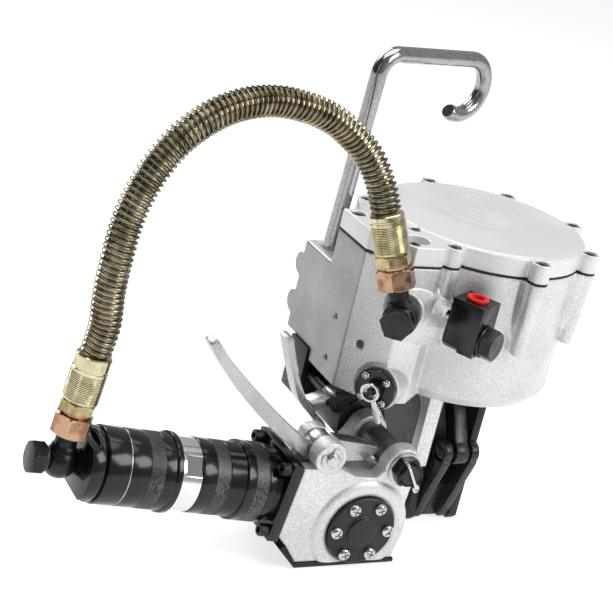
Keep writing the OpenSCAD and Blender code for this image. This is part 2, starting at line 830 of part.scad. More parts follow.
module motor_banjo_bolt() {
  color("black") on_motor(0) {
    translate([0, 0, 177.9]) cylinder(h = 1.5, r = 10);
    translate([0, 0, 179.35]) hex(bolt_af, 9);
    translate([0, 0, 141]) cylinder(h = 37, r = 6.45);
  }
}

module motor_hose_end() {
  color("goldenrod") on_motor(0) translate([fitting_reach, 0, fitting_s]) rotate([0, 90, 0])
    hose_end(fitting_neck_r, 24, 59);
}

// ---- hose ----

module hose() {
  color("goldenrod") tube(hose_route, hose_r - 0.3, hose_sides);
}

main_housing();
cover_gasket();
cylinder_cover();
cover_screws();
rod_bush();
side_plate_left();
side_plate_right();
jaw_pins();
strap_foot();
frame_bracket();
inlet_block();
inlet_plug();
inlet_bolt();
body_banjo();
body_banjo_bolt();
body_hose_end();
valve_flange();
valve_screws();
pivot_bolt();
castle_nut();
cotter_pin();
pivot_washer();
piston();
piston_seal();
piston_rod();
link_pins();
return_spring();
link_front();
link_back();
jaw_front();
jaw_back();
knee_pin_front();
knee_pin_back();
hook();
valve_lever();
rear_lever();
rear_lever_pin();
gearbox_housing();
gearbox_cover();
gearbox_cover_screws();
foot_plate();
motor_flange();
flange_screws();
gear_barrel();
lock_collar();
motor_barrel();
end_cap();
motor_banjo();
motor_banjo_bolt();
motor_hose_end();
pivot_sleeve();
shaft_bearings();
feed_shaft();
feed_wheel();
crown_gear();
pinion_shaft();
rotor();
lift_lever();
lift_pin();
hose();
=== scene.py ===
"""Looks of the pneumatic strapping tool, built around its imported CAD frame.

Metres, +Z up, X along the strap with the air motor at -X, -Y towards the operator.
Shapes are written in millimetres and scaled by MM; places come from the frame's joints and boxes.
"""

import json
import math

import bmesh
import bpy
from mathutils import Matrix, Vector
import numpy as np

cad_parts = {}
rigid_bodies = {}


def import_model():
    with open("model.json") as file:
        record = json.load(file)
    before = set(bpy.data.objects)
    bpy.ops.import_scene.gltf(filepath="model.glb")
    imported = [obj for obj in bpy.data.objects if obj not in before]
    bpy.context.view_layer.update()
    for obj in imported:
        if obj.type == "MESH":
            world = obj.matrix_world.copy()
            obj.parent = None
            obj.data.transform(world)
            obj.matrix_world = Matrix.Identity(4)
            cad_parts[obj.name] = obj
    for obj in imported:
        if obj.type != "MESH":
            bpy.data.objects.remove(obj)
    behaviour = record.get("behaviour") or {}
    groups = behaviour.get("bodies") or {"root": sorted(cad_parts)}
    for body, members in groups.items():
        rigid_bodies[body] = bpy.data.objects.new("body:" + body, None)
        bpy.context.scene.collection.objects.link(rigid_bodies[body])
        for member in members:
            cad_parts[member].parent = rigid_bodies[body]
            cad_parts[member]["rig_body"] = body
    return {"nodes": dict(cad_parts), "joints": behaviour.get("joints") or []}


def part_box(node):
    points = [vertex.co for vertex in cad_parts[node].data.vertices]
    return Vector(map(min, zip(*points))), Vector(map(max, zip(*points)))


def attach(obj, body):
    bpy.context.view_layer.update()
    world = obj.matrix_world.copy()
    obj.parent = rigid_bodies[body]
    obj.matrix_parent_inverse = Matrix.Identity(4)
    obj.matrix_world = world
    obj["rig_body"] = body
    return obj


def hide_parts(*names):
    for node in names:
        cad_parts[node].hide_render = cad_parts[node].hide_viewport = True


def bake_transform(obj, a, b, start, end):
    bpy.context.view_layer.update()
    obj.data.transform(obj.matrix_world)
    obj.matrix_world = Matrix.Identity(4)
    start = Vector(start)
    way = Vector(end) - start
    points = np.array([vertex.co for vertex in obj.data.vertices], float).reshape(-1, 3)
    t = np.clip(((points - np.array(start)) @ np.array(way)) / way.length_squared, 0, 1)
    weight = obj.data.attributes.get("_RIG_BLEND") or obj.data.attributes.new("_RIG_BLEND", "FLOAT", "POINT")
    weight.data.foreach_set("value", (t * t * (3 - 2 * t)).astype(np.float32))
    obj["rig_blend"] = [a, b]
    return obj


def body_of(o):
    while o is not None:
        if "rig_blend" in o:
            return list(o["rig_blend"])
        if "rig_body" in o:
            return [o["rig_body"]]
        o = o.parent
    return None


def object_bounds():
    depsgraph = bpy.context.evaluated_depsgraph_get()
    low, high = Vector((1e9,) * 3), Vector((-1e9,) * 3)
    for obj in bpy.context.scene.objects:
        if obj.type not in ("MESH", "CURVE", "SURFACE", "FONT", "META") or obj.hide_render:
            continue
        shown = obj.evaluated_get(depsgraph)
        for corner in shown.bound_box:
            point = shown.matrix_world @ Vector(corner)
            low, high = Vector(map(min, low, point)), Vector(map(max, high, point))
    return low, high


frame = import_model()
cad_low, cad_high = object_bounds()

MM = 0.001
TURN = 2 * math.pi
JOINT = {joint["name"]: joint for joint in frame["joints"]}


# ---- places, all from the frame ----


def middle(node):
    low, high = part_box(node)
    return (low + high) / 2


def place(origin, out, up):
    """Matrix whose local Z runs along out and whose local X is as near up as it can be."""
    z = Vector(out).normalized()
    x = Vector(up)
    x = (x - x.dot(z) * z).normalized()
    y = z.cross(x)
    turn = Matrix((x, y, z)).transposed().to_4x4()
    return Matrix.Translation(Vector(origin)) @ turn


def joint_at(name):
    return Vector(JOINT[name]["pos_m"])


MOTOR = place(joint_at("pinion_spin"), JOINT["pinion_spin"]["axis"], (0, 0, 1))
UP = Vector((0, 0, 1))
FRONT = Vector((0, -1, 0))


def level(degrees):
    """Horizontal direction at this angle from +X."""
    return Vector((math.cos(math.radians(degrees)), math.sin(math.radians(degrees)), 0))


def along_y(centre, y):
    """Local Z towards the operator, starting at this Y, on the axis through centre."""
    return place((centre.x, y, centre.z), FRONT, UP)


# ---- camera ----

CAMERA_AT = Vector((-0.6845, -0.9573, 0.5862))
VIEW_AZIMUTH = -30.0
VIEW_ELEVATION = 20.9
VIEW_ROLL = 13.3
LENS = 95.1


def make_camera():
    azimuth, elevation, roll = (math.radians(v) for v in (VIEW_AZIMUTH, VIEW_ELEVATION, VIEW_ROLL))
    back = Vector((
        math.sin(azimuth) * math.cos(elevation),
        -math.cos(azimuth) * math.cos(elevation),
        math.sin(elevation),
    ))
    right = Vector((math.cos(azimuth), math.sin(azimuth), 0))
    up = back.cross(right)
    x = math.cos(roll) * right + math.sin(roll) * up
    y = -math.sin(roll) * right + math.cos(roll) * up
    data = bpy.data.cameras.new("camera")
    data.lens = LENS
    data.sensor_width = 36
    data.clip_start = 0.05
    data.clip_end = 30
    camera = bpy.data.objects.new("camera", data)
    bpy.context.scene.collection.objects.link(camera)
    camera.matrix_world = Matrix.Translation(CAMERA_AT) @ Matrix((x, y, back)).transposed().to_4x4()
    bpy.context.scene.camera = camera


make_camera()


# ---- materials ----


def node_of(tree, kind, **values):
    made = tree.nodes.new(kind)
    for key, value in values.items():
        setattr(made, key, value)
    return made


def noise_at(tree, coordinates, scale, detail=3.0, stretch=None):
    """Noise texture in the part's own coordinates, which stretch scales axis by axis."""
    source = coordinates
    if stretch:
        mapping = tree.nodes.new("ShaderNodeMapping")
        mapping.inputs["Scale"].default_value = stretch
        tree.links.new(coordinates, mapping.inputs["Vector"])
        source = mapping.outputs["Vector"]
    noise = tree.nodes.new("ShaderNodeTexNoise")
    noise.inputs["Scale"].default_value = scale
    noise.inputs["Detail"].default_value = detail
    tree.links.new(source, noise.inputs["Vector"])
    return noise.outputs["Fac"]


def spread(tree, value, low, high, floor=0.35, ceiling=0.65):
    """Maps a noise value onto low..high."""
    mapped = tree.nodes.new("ShaderNodeMapRange")
    mapped.inputs["From Min"].default_value = floor
    mapped.inputs["From Max"].default_value = ceiling
    mapped.inputs["To Min"].default_value = low
    mapped.inputs["To Max"].default_value = high
    tree.links.new(value, mapped.inputs["Value"])
    return mapped.outputs["Result"]


def tone(value):
    """Colour without alpha, from a grey level or from its three parts."""
    return (value, value, value) if isinstance(value, (int, float)) else value


def colour_mix(tree, factor, first, second):
    """Mix of two colours, each a socket, a grey level or three parts."""
    mix = tree.nodes.new("ShaderNodeMix")
    mix.data_type = "RGBA"
    tree.links.new(factor, mix.inputs["Factor"])
    for socket, value in ((mix.inputs[6], first), (mix.inputs[7], second)):
        if isinstance(value, bpy.types.NodeSocket):
            tree.links.new(value, socket)
        else:
            socket.default_value = (*tone(value), 1)
    return mix.outputs[2]


def finish_of(
    name, dark, light, metallic, rough, grain, bump=0.2, depth=0.1,
    cloud=35.0, cloudy=0.25, stretch=None, wear_and_highlight=None,
):
    """Procedural finish: two tones mixed by fine grain and broad clouds, roughness from the
    same grain, bump from it too, and optional bright convex edges, partly wear and partly painted highlight."""
    material = bpy.data.materials.new(name)
    material.use_nodes = True
    tree = material.node_tree
    shader = tree.nodes["Principled BSDF"]
    shader.inputs["Metallic"].default_value = metallic
    where = tree.nodes.new("ShaderNodeTexCoord").outputs["Object"]
    fine = noise_at(tree, where, grain, 2.0, stretch)
    broad = noise_at(tree, where, cloud, 4.0)
    mixed = tree.nodes.new("ShaderNodeMath")
    mixed.operation = "MULTIPLY_ADD"
    tree.links.new(spread(tree, broad, -cloudy, cloudy), mixed.inputs[0])
    mixed.inputs[1].default_value = 1.0
    tree.links.new(spread(tree, fine, 0, 1), mixed.inputs[2])
    mixed.use_clamp = True
    colour = colour_mix(tree, mixed.outputs[0], dark, light)
    if wear_and_highlight:
        edge_tone, edge_width = wear_and_highlight
        # Convex edges are brightened: partly wear, partly a painted highlight where rounded edges catch the
        # light
        edge = tree.nodes.new("ShaderNodeBevel")
        edge.samples = 4
        edge.inputs["Radius"].default_value = edge_width * MM
        surface = tree.nodes.new("ShaderNodeNewGeometry")
        alike = node_of(tree, "ShaderNodeVectorMath", operation="DOT_PRODUCT")
        tree.links.new(edge.outputs["Normal"], alike.inputs[0])
        tree.links.new(surface.outputs["Normal"], alike.inputs[1])
        amount = spread(tree, alike.outputs["Value"], 0.9, 0.0, 0.86, 0.99)
        broken = node_of(tree, "ShaderNodeMath", operation="MULTIPLY")
        tree.links.new(amount, broken.inputs[0])
        tree.links.new(spread(tree, broad, 0.3, 1.0), broken.inputs[1])
        colour = colour_mix(tree, broken.outputs[0], colour, edge_tone)
    tree.links.new(colour, shader.inputs["Base Color"])
    tree.links.new(spread(tree, fine, rough[0], rough[1]), shader.inputs["Roughness"])
    relief = tree.nodes.new("ShaderNodeBump")
    relief.inputs["Strength"].default_value = bump
    relief.inputs["Distance"].default_value = depth * MM
    tree.links.new(fine, relief.inputs["Height"])
    tree.links.new(relief.outputs["Normal"], shader.inputs["Normal"])
    return material


# One row for each finish: its material's name, dark and light tone, metallic, roughness range, grain
# per metre, strength and depth in mm of the bump, clouds per metre, how much they show, and stretch
FINISHES = {
    "cast": ("cast_aluminium", 0.52, (0.86, 0.86, 0.85), 0.75, (0.36, 0.58), 1300, 0.6, 0.28, 22, 0.18),
    # Darker copy of the cast finish, for the casting's faces turned to -X: painted shade on its left side
    "cast_left": (
        "cast_aluminium_painted_shade", 0.24, (0.52, 0.52, 0.51), 0.75, (0.4, 0.6), 1300, 0.6, 0.28, 22, 0.18,
    ),
    "cover": (
        "cover_aluminium", (0.66, 0.66, 0.65), (0.86, 0.86, 0.85), 0.5, (0.42, 0.58), 1900, 0.3, 0.12,
        18, 0.2,
    ),
    "gasket": ("gasket_black", 0.008, 0.02, 0.0, (0.7, 0.9), 800),
    "black_oxide": ("black_oxide", 0.006, 0.016, 0.4, (0.26, 0.42), 700, 0.2, 0.06, 40, 0.4),
    "forged": ("forged_black", 0.008, 0.024, 0.3, (0.36, 0.56), 420, 0.5, 0.2, 30, 0.5),
    "jaw": ("jaw_steel", 0.02, 0.055, 0.6, (0.26, 0.4), 600, 0.2, 0.08, 30, 0.4),
    "pin": ("pin_steel", 0.42, 0.62, 1.0, (0.16, 0.3), 900, 0.1, 0.05, 60, 0.3),
    "anodised": ("black_anodised", 0.004, 0.009, 0.2, (0.13, 0.2), 1500, 0.05, 0.02, 40, 0.3),
    "knurled": ("knurled_black", 0.015, 0.13, 0.6, (0.32, 0.5), 1400, 0.5, 0.15, 40, 0.3, (1, 1, 0.3)),
    "block": ("black_block", 0.002, 0.005, 0.0, (0.22, 0.3), 1200, 0.08, 0.03),
    "turned_black": ("turned_black", 0.018, 0.04, 0.6, (0.24, 0.36), 2600, 0.3, 0.05, 60, 0.4),
    "red": ("red_plastic", (0.62, 0.01, 0.006), (0.8, 0.022, 0.012), 0.0, (0.3, 0.42), 700, 0.1, 0.05),
    "olive": (
        "olive_zinc", (0.3, 0.24, 0.11), (0.52, 0.44, 0.24), 1.0, (0.12, 0.22), 150, 0.04, 0.03, 45, 0.5,
    ),
    "copper": (
        "copper_zinc", (0.26, 0.125, 0.08), (0.5, 0.31, 0.2), 1.0, (0.1, 0.2), 150, 0.04, 0.03, 45, 0.6,
    ),
    "ferrule": (
        "ferrule_zinc", (0.42, 0.36, 0.2), (0.66, 0.6, 0.4), 1.0, (0.12, 0.22), 150, 0.04, 0.03, 40, 0.4,
    ),
    "armour": (
        "armour_zinc", (0.15, 0.13, 0.085), (0.38, 0.34, 0.24), 1.0, (0.1, 0.2), 120, 0.03, 0.02, 25, 0.4,
    ),
    "hose_dark": ("hose_inside", (0.004, 0.0035, 0.002), (0.014, 0.012, 0.008), 0.3, (0.5, 0.7), 300, 0.05),
    "chrome": ("chrome_bar", 0.3, 0.42, 1.0, (0.1, 0.2), 500, 0.08, 0.03, 30, 0.3),
    "bright": ("bright_zinc", 0.48, 0.68, 1.0, (0.12, 0.24), 900, 0.1, 0.04, 60, 0.3),
    "collar": ("bright_collar", 0.72, 0.86, 1.0, (0.1, 0.22), 1500, 0.1, 0.03, 30, 0.2),
    "lever": (
        "lever_nickel", (0.36, 0.36, 0.355), (0.56, 0.56, 0.55), 1.0, (0.24, 0.38), 1100, 0.15, 0.06,
        30, 0.3,
    ),
    "plate": (
        "zinc_plate", (0.32, 0.32, 0.32), (0.5, 0.5, 0.49), 1.0, (0.24, 0.38), 900, 0.15, 0.06, 30, 0.4,
    ),
    "sleeve": (
        "brown_sleeve", (0.11, 0.095, 0.085), (0.25, 0.22, 0.2), 0.85, (0.3, 0.48), 800, 0.25, 0.1, 35, 0.6,
    ),
    "cover_black": ("satin_black", 0.01, 0.026, 0.35, (0.34, 0.5), 900, 0.3, 0.08, 45, 0.4),
    "machined": ("machined_steel", 0.45, 0.66, 1.0, (0.2, 0.34), 900, 0.15, 0.05),
    "bronze": ("bronze_bush", (0.36, 0.22, 0.09), (0.58, 0.38, 0.17), 1.0, (0.25, 0.4), 600, 0.2, 0.06),
    "flat_dark": (
        "milled_dark", (0.012, 0.009, 0.009), (0.035, 0.026, 0.026), 0.4, (0.12, 0.22), 900, 0.1, 0.03,
    ),
    "bright_line": ("bright_line", 0.35, 0.6, 1.0, (0.2, 0.35), 900, 0.1, 0.03),
    "screw_dark": ("screw_dark", 0.05, 0.12, 0.9, (0.25, 0.4), 900, 0.1, 0.04),
    "rubber": ("seal_rubber", 0.012, 0.03, 0.0, (0.6, 0.8), 900, 0.3, 0.08),
}

# Brightened convex edges, partly wear and partly painted highlight: their tone and their width in mm
WORN_AND_HIGHLIT_EDGES = {
    "black_oxide": (0.2, 0.5), "forged": (0.14, 0.5), "jaw": (0.25, 0.5), "anodised": (0.25, 0.35),
    "block": (0.25, 0.3), "turned_black": (0.22, 0.5), "copper": ((0.75, 0.62, 0.36), 0.7),
    "cover_black": (0.25, 0.5), "screw_dark": (0.4, 0.5),
}

LOOKS = {look: finish_of(*row, wear_and_highlight=WORN_AND_HIGHLIT_EDGES.get(look)) for look, row in FINISHES.items()}


def paint(obj, *looks):
    obj.data.materials.clear()
    for look in looks:
        obj.data.materials.append(LOOKS[look])
    return obj


# ---- carried CAD nodes keep their shape and get a finish; the others are stood for below ----

CARRIED = {
    "gasket": ("cover_gasket",),
    "bronze": ("rod_bush",),
    "rubber": ("piston_seal",),
    "pin": ("jaw_pins", "link_pins"),
    "machined": (
        "piston", "piston_rod", "return_spring", "shaft_bearings", "feed_shaft", "crown_gear",
        "pinion_shaft", "rotor",
    ),
}
for look_name, node_names in CARRIED.items():
    for node_name in node_names:
        paint(frame["nodes"][node_name], look_name)


# ---- modelling tools ----


def link(obj):
    bpy.context.scene.collection.objects.link(obj)
    return obj


def shade(mesh, sharp=32):
    mesh.shade_smooth()
    mesh.set_sharp_from_angle(angle=math.radians(sharp))


def from_bmesh(name, bm, sharp=32):
    bmesh.ops.recalc_face_normals(bm, faces=bm.faces)
    mesh = bpy.data.meshes.new(name)
    bm.to_mesh(mesh)
    bm.free()
    shade(mesh, sharp)
    return link(bpy.data.objects.new(name, mesh))


def eased(points, cut=0.5):
    """Rounds the inner corners of a turning profile."""
    result = [points[0]]
    for before, at, after in zip(points, points[1:], points[2:]):
        b, p, a = Vector(before), Vector(at), Vector(after)
        first, second = b - p, a - p
        if first.length < 1e-6 or second.length < 1e-6:
            continue
        step = min(cut, first.length * 0.45, second.length * 0.45)
        start, end = p + first.normalized() * step, p + second.normalized() * step
        result += [tuple(start), tuple(start * 0.25 + p * 0.5 + end * 0.25), tuple(end)]
    result.append(points[-1])
    return result


def turned(name, where, profile, sides=96, radius=None, loop=False, sharp=32):
    """Solid of revolution about the local Z of where. profile is (z, r) in mm from end to end;
    radius(angle, r, z) may change r, for hexagons, flats and knurls. loop closes it as a ring."""
    bm = bmesh.new()
    rings = []
    for z, r in profile:
        if r <= 0:
            rings.append([bm.verts.new(where @ Vector((0, 0, z * MM)))])
            continue
        ring = []
        for k in range(sides):
            angle = TURN * k / sides
            reach = (radius(angle, r, z) if radius else r) * MM
            spot = Vector((reach * math.cos(angle), reach * math.sin(angle), z * MM))
            ring.append(bm.verts.new(where @ spot))
        rings.append(ring)
    pairs = list(zip(rings, rings[1:]))
    if loop:
        pairs.append((rings[-1], rings[0]))
    for a, b in pairs:
        for k in range(sides):
            j = (k + 1) % sides
            corners = [a[k % len(a)], a[j % len(a)], b[j % len(b)], b[k % len(b)]]
            distinct = list(dict.fromkeys(corners))
            if len(distinct) > 2:
                bm.faces.new(distinct)
    return from_bmesh(name, bm, sharp)


def hexagon(across):
    """radius rule: cuts a round profile down to a hexagon of this width across flats."""
    def rule(angle, r, z):
        return min(r, across / 2 / math.cos(angle % (TURN / 6) - TURN / 12))
    return rule


def nut_profile(across, height, start):
    """Turning profile of a hexagon with rounded-off ends, from start to start + height."""
    corner = across / math.sqrt(3) + 0.01
    face = across / 2 * 0.95
    rise = (corner - face) * 0.5
    steps = [i / 4 for i in range(5)]
    low = [(start + rise * t, face + (corner - face) * t) for t in steps]
    high = [(start + height - rise * t, face + (corner - face) * t) for t in reversed(steps)]
    return [(start, 0)] + low + high + [(start + height, 0)]


def hex_nut(name, where, across, height, start):
    return turned(name, where, nut_profile(across, height, start), 72, hexagon(across), sharp=20)


def prism(name, where, outline, depth, ease=0.8, segments=2):
    """Outline in local XY (mm) extruded along local Z by depth, with eased edges."""
    bm = bmesh.new()
    verts = [bm.verts.new(where @ Vector((x * MM, y * MM, 0))) for x, y in outline]
    face = bm.faces.new(verts)
    grown = bmesh.ops.extrude_face_region(bm, geom=[face])
    shift = where.to_3x3() @ Vector((0, 0, depth * MM))
    moved = [v for v in grown["geom"] if isinstance(v, bmesh.types.BMVert)]
    bmesh.ops.translate(bm, verts=moved, vec=shift)
    bmesh.ops.recalc_face_normals(bm, faces=bm.faces)
    if ease:
        sharp = [e for e in bm.edges if e.calc_face_angle(0) > math.radians(25)]
        bmesh.ops.bevel(
            bm, geom=sharp, offset=ease * MM, segments=segments, affect="EDGES", profile=0.5,
            clamp_overlap=True,
        )
    return from_bmesh(name, bm)


def evaluated(obj):
    """Applies every modifier of obj."""
    graph = bpy.context.evaluated_depsgraph_get()
    mesh = bpy.data.meshes.new_from_object(obj.evaluated_get(graph))
    obj.modifiers.clear()
    obj.data = mesh
    return obj


def cut_by(obj, *tools):
    """Takes each tool out of obj, and uses the tools up."""
    for tool in tools:
        change = obj.modifiers.new("cut", "BOOLEAN")
        change.operation = "DIFFERENCE"
        change.solver = "EXACT"
        change.object = tool
        evaluated(obj)
        bpy.data.objects.remove(tool)
        shade(obj.data)
    return obj


def joined(first, *others):
    """Puts the meshes of others into first, keeping each one's materials."""
    bm = bmesh.new()
    bm.from_mesh(first.data)
    for other in others:
        offset = len(first.data.materials)
        for material in other.data.materials:
            first.data.materials.append(material)
        start = len(bm.faces)
        bm.from_mesh(other.data)
        bm.faces.ensure_lookup_table()
        for face in bm.faces[start:]:
            face.material_index += offset
        bpy.data.objects.remove(other)
    bm.to_mesh(first.data)
    bm.free()
    shade(first.data)
    return first


def copy_of(name, node):
    """New object with the welded mesh of a CAD node, its flat faces merged."""
    bm = bmesh.new()
    bm.from_mesh(frame["nodes"][node].data)
    bmesh.ops.remove_doubles(bm, verts=bm.verts, dist=0.00001)
    bmesh.ops.dissolve_limit(bm, angle_limit=math.radians(0.4), verts=bm.verts, edges=bm.edges)
    return from_bmesh(name, bm)


def softened(node, look, width):
    """Copy of a CAD node with eased edges, which stands for the node."""
    obj = copy_of(node + "_eased", node)
    ease = obj.modifiers.new("ease", "BEVEL")
    ease.width = width * MM
    ease.segments = 2
    ease.limit_method = "ANGLE"
    ease.angle_limit = math.radians(30)
    evaluated(obj)
    shade(obj.data)
    return stand_for(paint(obj, look), node)


def recast(obj, voxel, passes):
    """Remeshes a casting and smooths it, which rounds every edge."""
    remesh = obj.modifiers.new("skin", "REMESH")
    remesh.mode = "VOXEL"
    remesh.voxel_size = voxel * MM
    soft = obj.modifiers.new("round", "SMOOTH")
    soft.iterations = passes
    return evaluated(obj)


def stand_for(obj, node):
    """obj shows in place of a CAD node and rides on its body."""
    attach(obj, body_of(frame["nodes"][node])[0])
    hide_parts(node)
    return obj


def show(obj, look, node):
    """obj, in one finish, shows in place of a CAD node."""
    return stand_for(paint(obj, look), node)


# ---- hose: one spiral-armoured tube between two crimped ends ----

HOSE_ROUTE = [
    Vector(point) * MM
    for point in (
        (-123, -61, 263), (-129, -56, 280), (-138, -49, 296), (-152, -43, 309), (-169, -40, 319),
        (-190, -39, 325), (-213, -39, 327), (-237, -43, 324), (-260, -48, 315), (-281, -53, 299),
        (-297, -57, 276), (-307, -60, 250), (-311, -62, 223), (-312, -62, 198), (-310.8, -62, 174.3),
        (-313.5, -62, 154.5),
    )
]
HOSE_OUTER = 11.0
RIB_PITCH = 3.9
RIB_STEPS = 12
RIB_SHARE = 0.58
HOSE_SIDES = 36
PATH_STEPS = 60


def between(a, b, c, d, t):
    """Point of a Catmull-Rom curve between b (t = 0) and c (t = 1)."""
    return 0.5 * (
        2 * b + (c - a) * t + (2 * a - 5 * b + 4 * c - d) * t * t + (3 * b - a - 3 * c + d) * t ** 3
    )


def smooth_path(points, step):
    """Points every step along a smooth curve through points, and its length."""
    dense = []
    padded = [2 * points[0] - points[1], *points, 2 * points[-1] - points[-2]]
    for a, b, c, d in zip(padded, padded[1:], padded[2:], padded[3:]):
        dense += [between(a, b, c, d, k / PATH_STEPS) for k in range(PATH_STEPS)]
    dense.append(points[-1].copy())
    total = sum((q - p).length for p, q in zip(dense, dense[1:]))
    count = round(total / step)
    spaced, walked, index = [dense[0]], 0.0, 0
    for k in range(1, count):
        goal = total * k / count
        while walked + (dense[index + 1] - dense[index]).length < goal:
            walked += (dense[index + 1] - dense[index]).length
            index += 1
        part = (goal - walked) / (dense[index + 1] - dense[index]).length
        spaced.append(dense[index].lerp(dense[index + 1], part))
    spaced.append(dense[-1])
    return spaced, total


def path_frames(path, side):
    """Two cross directions at each point of a path, carried along it without twist."""
    frames = []
    for i, point in enumerate(path):
        ahead = (path[min(i + 1, len(path) - 1)] - path[max(i - 1, 0)]).normalized()
        side = (side - side.dot(ahead) * ahead).normalized()
        frames.append((side.copy(), ahead.cross(side)))
    return frames


def swept(name, path, radius_at, sides, side=Vector((0, 1, 0)), sharp=60, looks=None):
    """Tube along path. radius_at(i, angle) is in mm; looks(i, angle) picks a material slot."""
    bm = bmesh.new()
    rings = []
    for i, (point, (u, v)) in enumerate(zip(path, path_frames(path, side))):
        ring = []
        for k in range(sides):
            angle = TURN * k / sides
            r = radius_at(i, angle) * MM
            ring.append(bm.verts.new(point + (u * math.cos(angle) + v * math.sin(angle)) * r))
        rings.append(ring)
    for i, (a, b) in enumerate(zip(rings, rings[1:])):
        for k in range(sides):
            face = bm.faces.new((a[k], a[(k + 1) % sides], b[(k + 1) % sides], b[k]))
            if looks:
                face.material_index = looks(i, TURN * (k + 0.5) / sides)
    bm.faces.new(rings[0])
    bm.faces.new(rings[-1])
    return from_bmesh(name, bm, sharp)


def make_hose():
    path, total = smooth_path(HOSE_ROUTE, RIB_PITCH / RIB_STEPS * MM)

    def phase(i, angle):
        return (i / RIB_STEPS + angle / TURN) % 1.0

    def radius_at(i, angle):
        p = phase(i, angle)
        if p < RIB_SHARE:
            return HOSE_OUTER - 1.2 + 1.1 * math.sin(math.pi * p / RIB_SHARE) ** 0.8
        return HOSE_OUTER - 2.3

    hose = swept(
        "armoured_hose", path, radius_at, HOSE_SIDES,
        looks=lambda i, a: int(phase(i + 0.5, a) >= RIB_SHARE),
    )
    paint(hose, "armour", "hose_dark")
    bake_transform(hose, "frame", "tensioner", HOSE_ROUTE[0], HOSE_ROUTE[-1])
    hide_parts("hose")
    return hose, path, total


hose, hose_path, hose_length = make_hose()


# ---- hose fittings ----


UNION_NUT_ACROSS = 24
FERRULE_R = 12.4
FERRULE_PITCH = 1.2
FITTING_LENGTH = {"body_hose_end": 54, "motor_hose_end": 59}


def hose_fitting(prefix, node, where):
    """Union nut, crimp hexagon and grooved ferrule, standing on local Z."""
    nut = hex_nut(prefix + "_nut", where, UNION_NUT_ACROSS, 15, 0)
    paint(nut, "copper")
    ring = turned(
        prefix + "_ring", where,
        eased([(14.8, 0), (14.8, 10.6), (16.3, 10.6), (16.3, 11.0), (17.6, 11.0), (17.6, 0)], 0.3),
    )
    paint(ring, "copper")
    crimp = hex_nut(prefix + "_crimp", where, 22.4, 8, 17.2)
    paint(crimp, "olive")
    r = FERRULE_R
    ferrule = [(25, 0), (25, 11.2), (26, r), (27.5, r)]
    z = 27.5
    while z < 46:
        ferrule += [(z + 0.35, 12.05), (z + 0.7, r), (z + FERRULE_PITCH, r)]
        z += FERRULE_PITCH
    end = FITTING_LENGTH[node] - 0.3
    ferrule += [
        (48, r), (48.6, 11.6), (49.6, 11.6), (50.2, r), (end - 0.9, 12.3), (end, 11.4), (end, 0),
    ]
    body = turned(prefix + "_ferrule", where, ferrule, 72, sharp=25)
    paint(body, "ferrule")
    pieces = [nut, ring, crimp, body]
    for piece in pieces:
        stand_for(piece, node)
    return pieces


BANJO_OUT = level(-130)
BANJO_LEAN = math.radians(22)
BANJO_HALF = 13
BOLT_ACROSS = 21
BOLT_HEIGHT = 9
# From a banjo's axis to the foot of its union nut, and from a fitting's end to the free hose
UNION_RISE = 20.3
HOSE_GAP = 0.7


def hose_up():
    """Direction in which the hose leaves the casting's banjo."""
    side = UP.cross(BANJO_OUT)
    return (UP * math.cos(BANJO_LEAN) - side * math.sin(BANJO_LEAN)).normalized()


def hose_foot():
    """Foot of the banjo on the casting, worked back from the start of the free hose."""
    reach = UNION_RISE + FITTING_LENGTH["body_hose_end"] + HOSE_GAP
    return HOSE_ROUTE[0] - hose_up() * (reach * MM) - BANJO_OUT * BANJO_HALF * MM


MOTOR_BANJO_AT = 166.3
body_end_place = place(
    HOSE_ROUTE[0] - hose_up() * ((FITTING_LENGTH["body_hose_end"] + HOSE_GAP) * MM),
    hose_up(), BANJO_OUT,
)
motor_up = MOTOR.to_3x3() @ Vector((1, 0, 0))
motor_out = MOTOR.to_3x3() @ Vector((0, 0, 1))
motor_end_place = place(
    MOTOR @ Vector((UNION_RISE * MM, 0, MOTOR_BANJO_AT * MM)), motor_up, motor_out
)
body_fitting = hose_fitting("body_fitting", "body_hose_end", body_end_place)
motor_fitting = hose_fitting("motor_fitting", "motor_hose_end", motor_end_place)


# ---- fasteners ----

# Depth of a hexagon socket as a share of the head, and the ribs round the head
SOCKET_DEPTH = 0.55
SIDE_RIBS = 36
DOME_STEPS = 6
CORNERS = [TURN * (k + 0.5) / 4 for k in range(4)]


def socket_head(name, where, r, height, socket, start):
    """Cylinder-head screw: finely ribbed side and a hexagon socket."""
    top = start + height
    floor_at = top - height * SOCKET_DEPTH
    corner = socket / math.sqrt(3)
    profile = [
        (start, 0), (start, r), (start + 0.3, r), (top - 0.9, r), (top - 0.4, r - 0.15), (top, r - 0.7),
        (top, socket * 0.62), (top - 0.35, corner), (floor_at, corner), (floor_at - 0.3, 0),
    ]
    hexagonal = hexagon(socket)

    def radius(angle, at, z):
        if at <= corner:
            return hexagonal(angle, at, z)
        if at == r:
            return at - 0.12 * (1 + math.cos(angle * SIDE_RIBS)) / 2
        return at

    return turned(name, where, profile, 144, radius, sharp=30)


def pan_head(name, where, r, height, start):
    """Domed screw head with a cross recess."""
    rise = [(start, 0), (start, r), (start + height * 0.35, r)]
    for k in range(1, DOME_STEPS + 1):
        t = k / DOME_STEPS * math.pi / 2
        reach = r * (0.25 + 0.75 * math.cos(t)) if k < DOME_STEPS else 0
        rise.append((start + height * (0.35 + 0.65 * math.sin(t)), reach))
    head = turned(name, where, rise, 48, sharp=40)
    long, half = r * 0.62, r * 0.13
    blade = [(-long, -half), (long, -half), (long, half), (-long, half)]
    for k in range(2):
        at = where @ Matrix.Rotation(TURN / 8 + k * TURN / 4, 4, "Z")
        at = at @ Matrix.Translation((0, 0, (start + height * 0.45) * MM))
        cut_by(head, prism(name + "_slot", at, blade, height, 0))
    return head


def set_of(parts, look, node):
    """Several like pieces joined into one that stands for their node."""
    return show(joined(*parts), look, node)


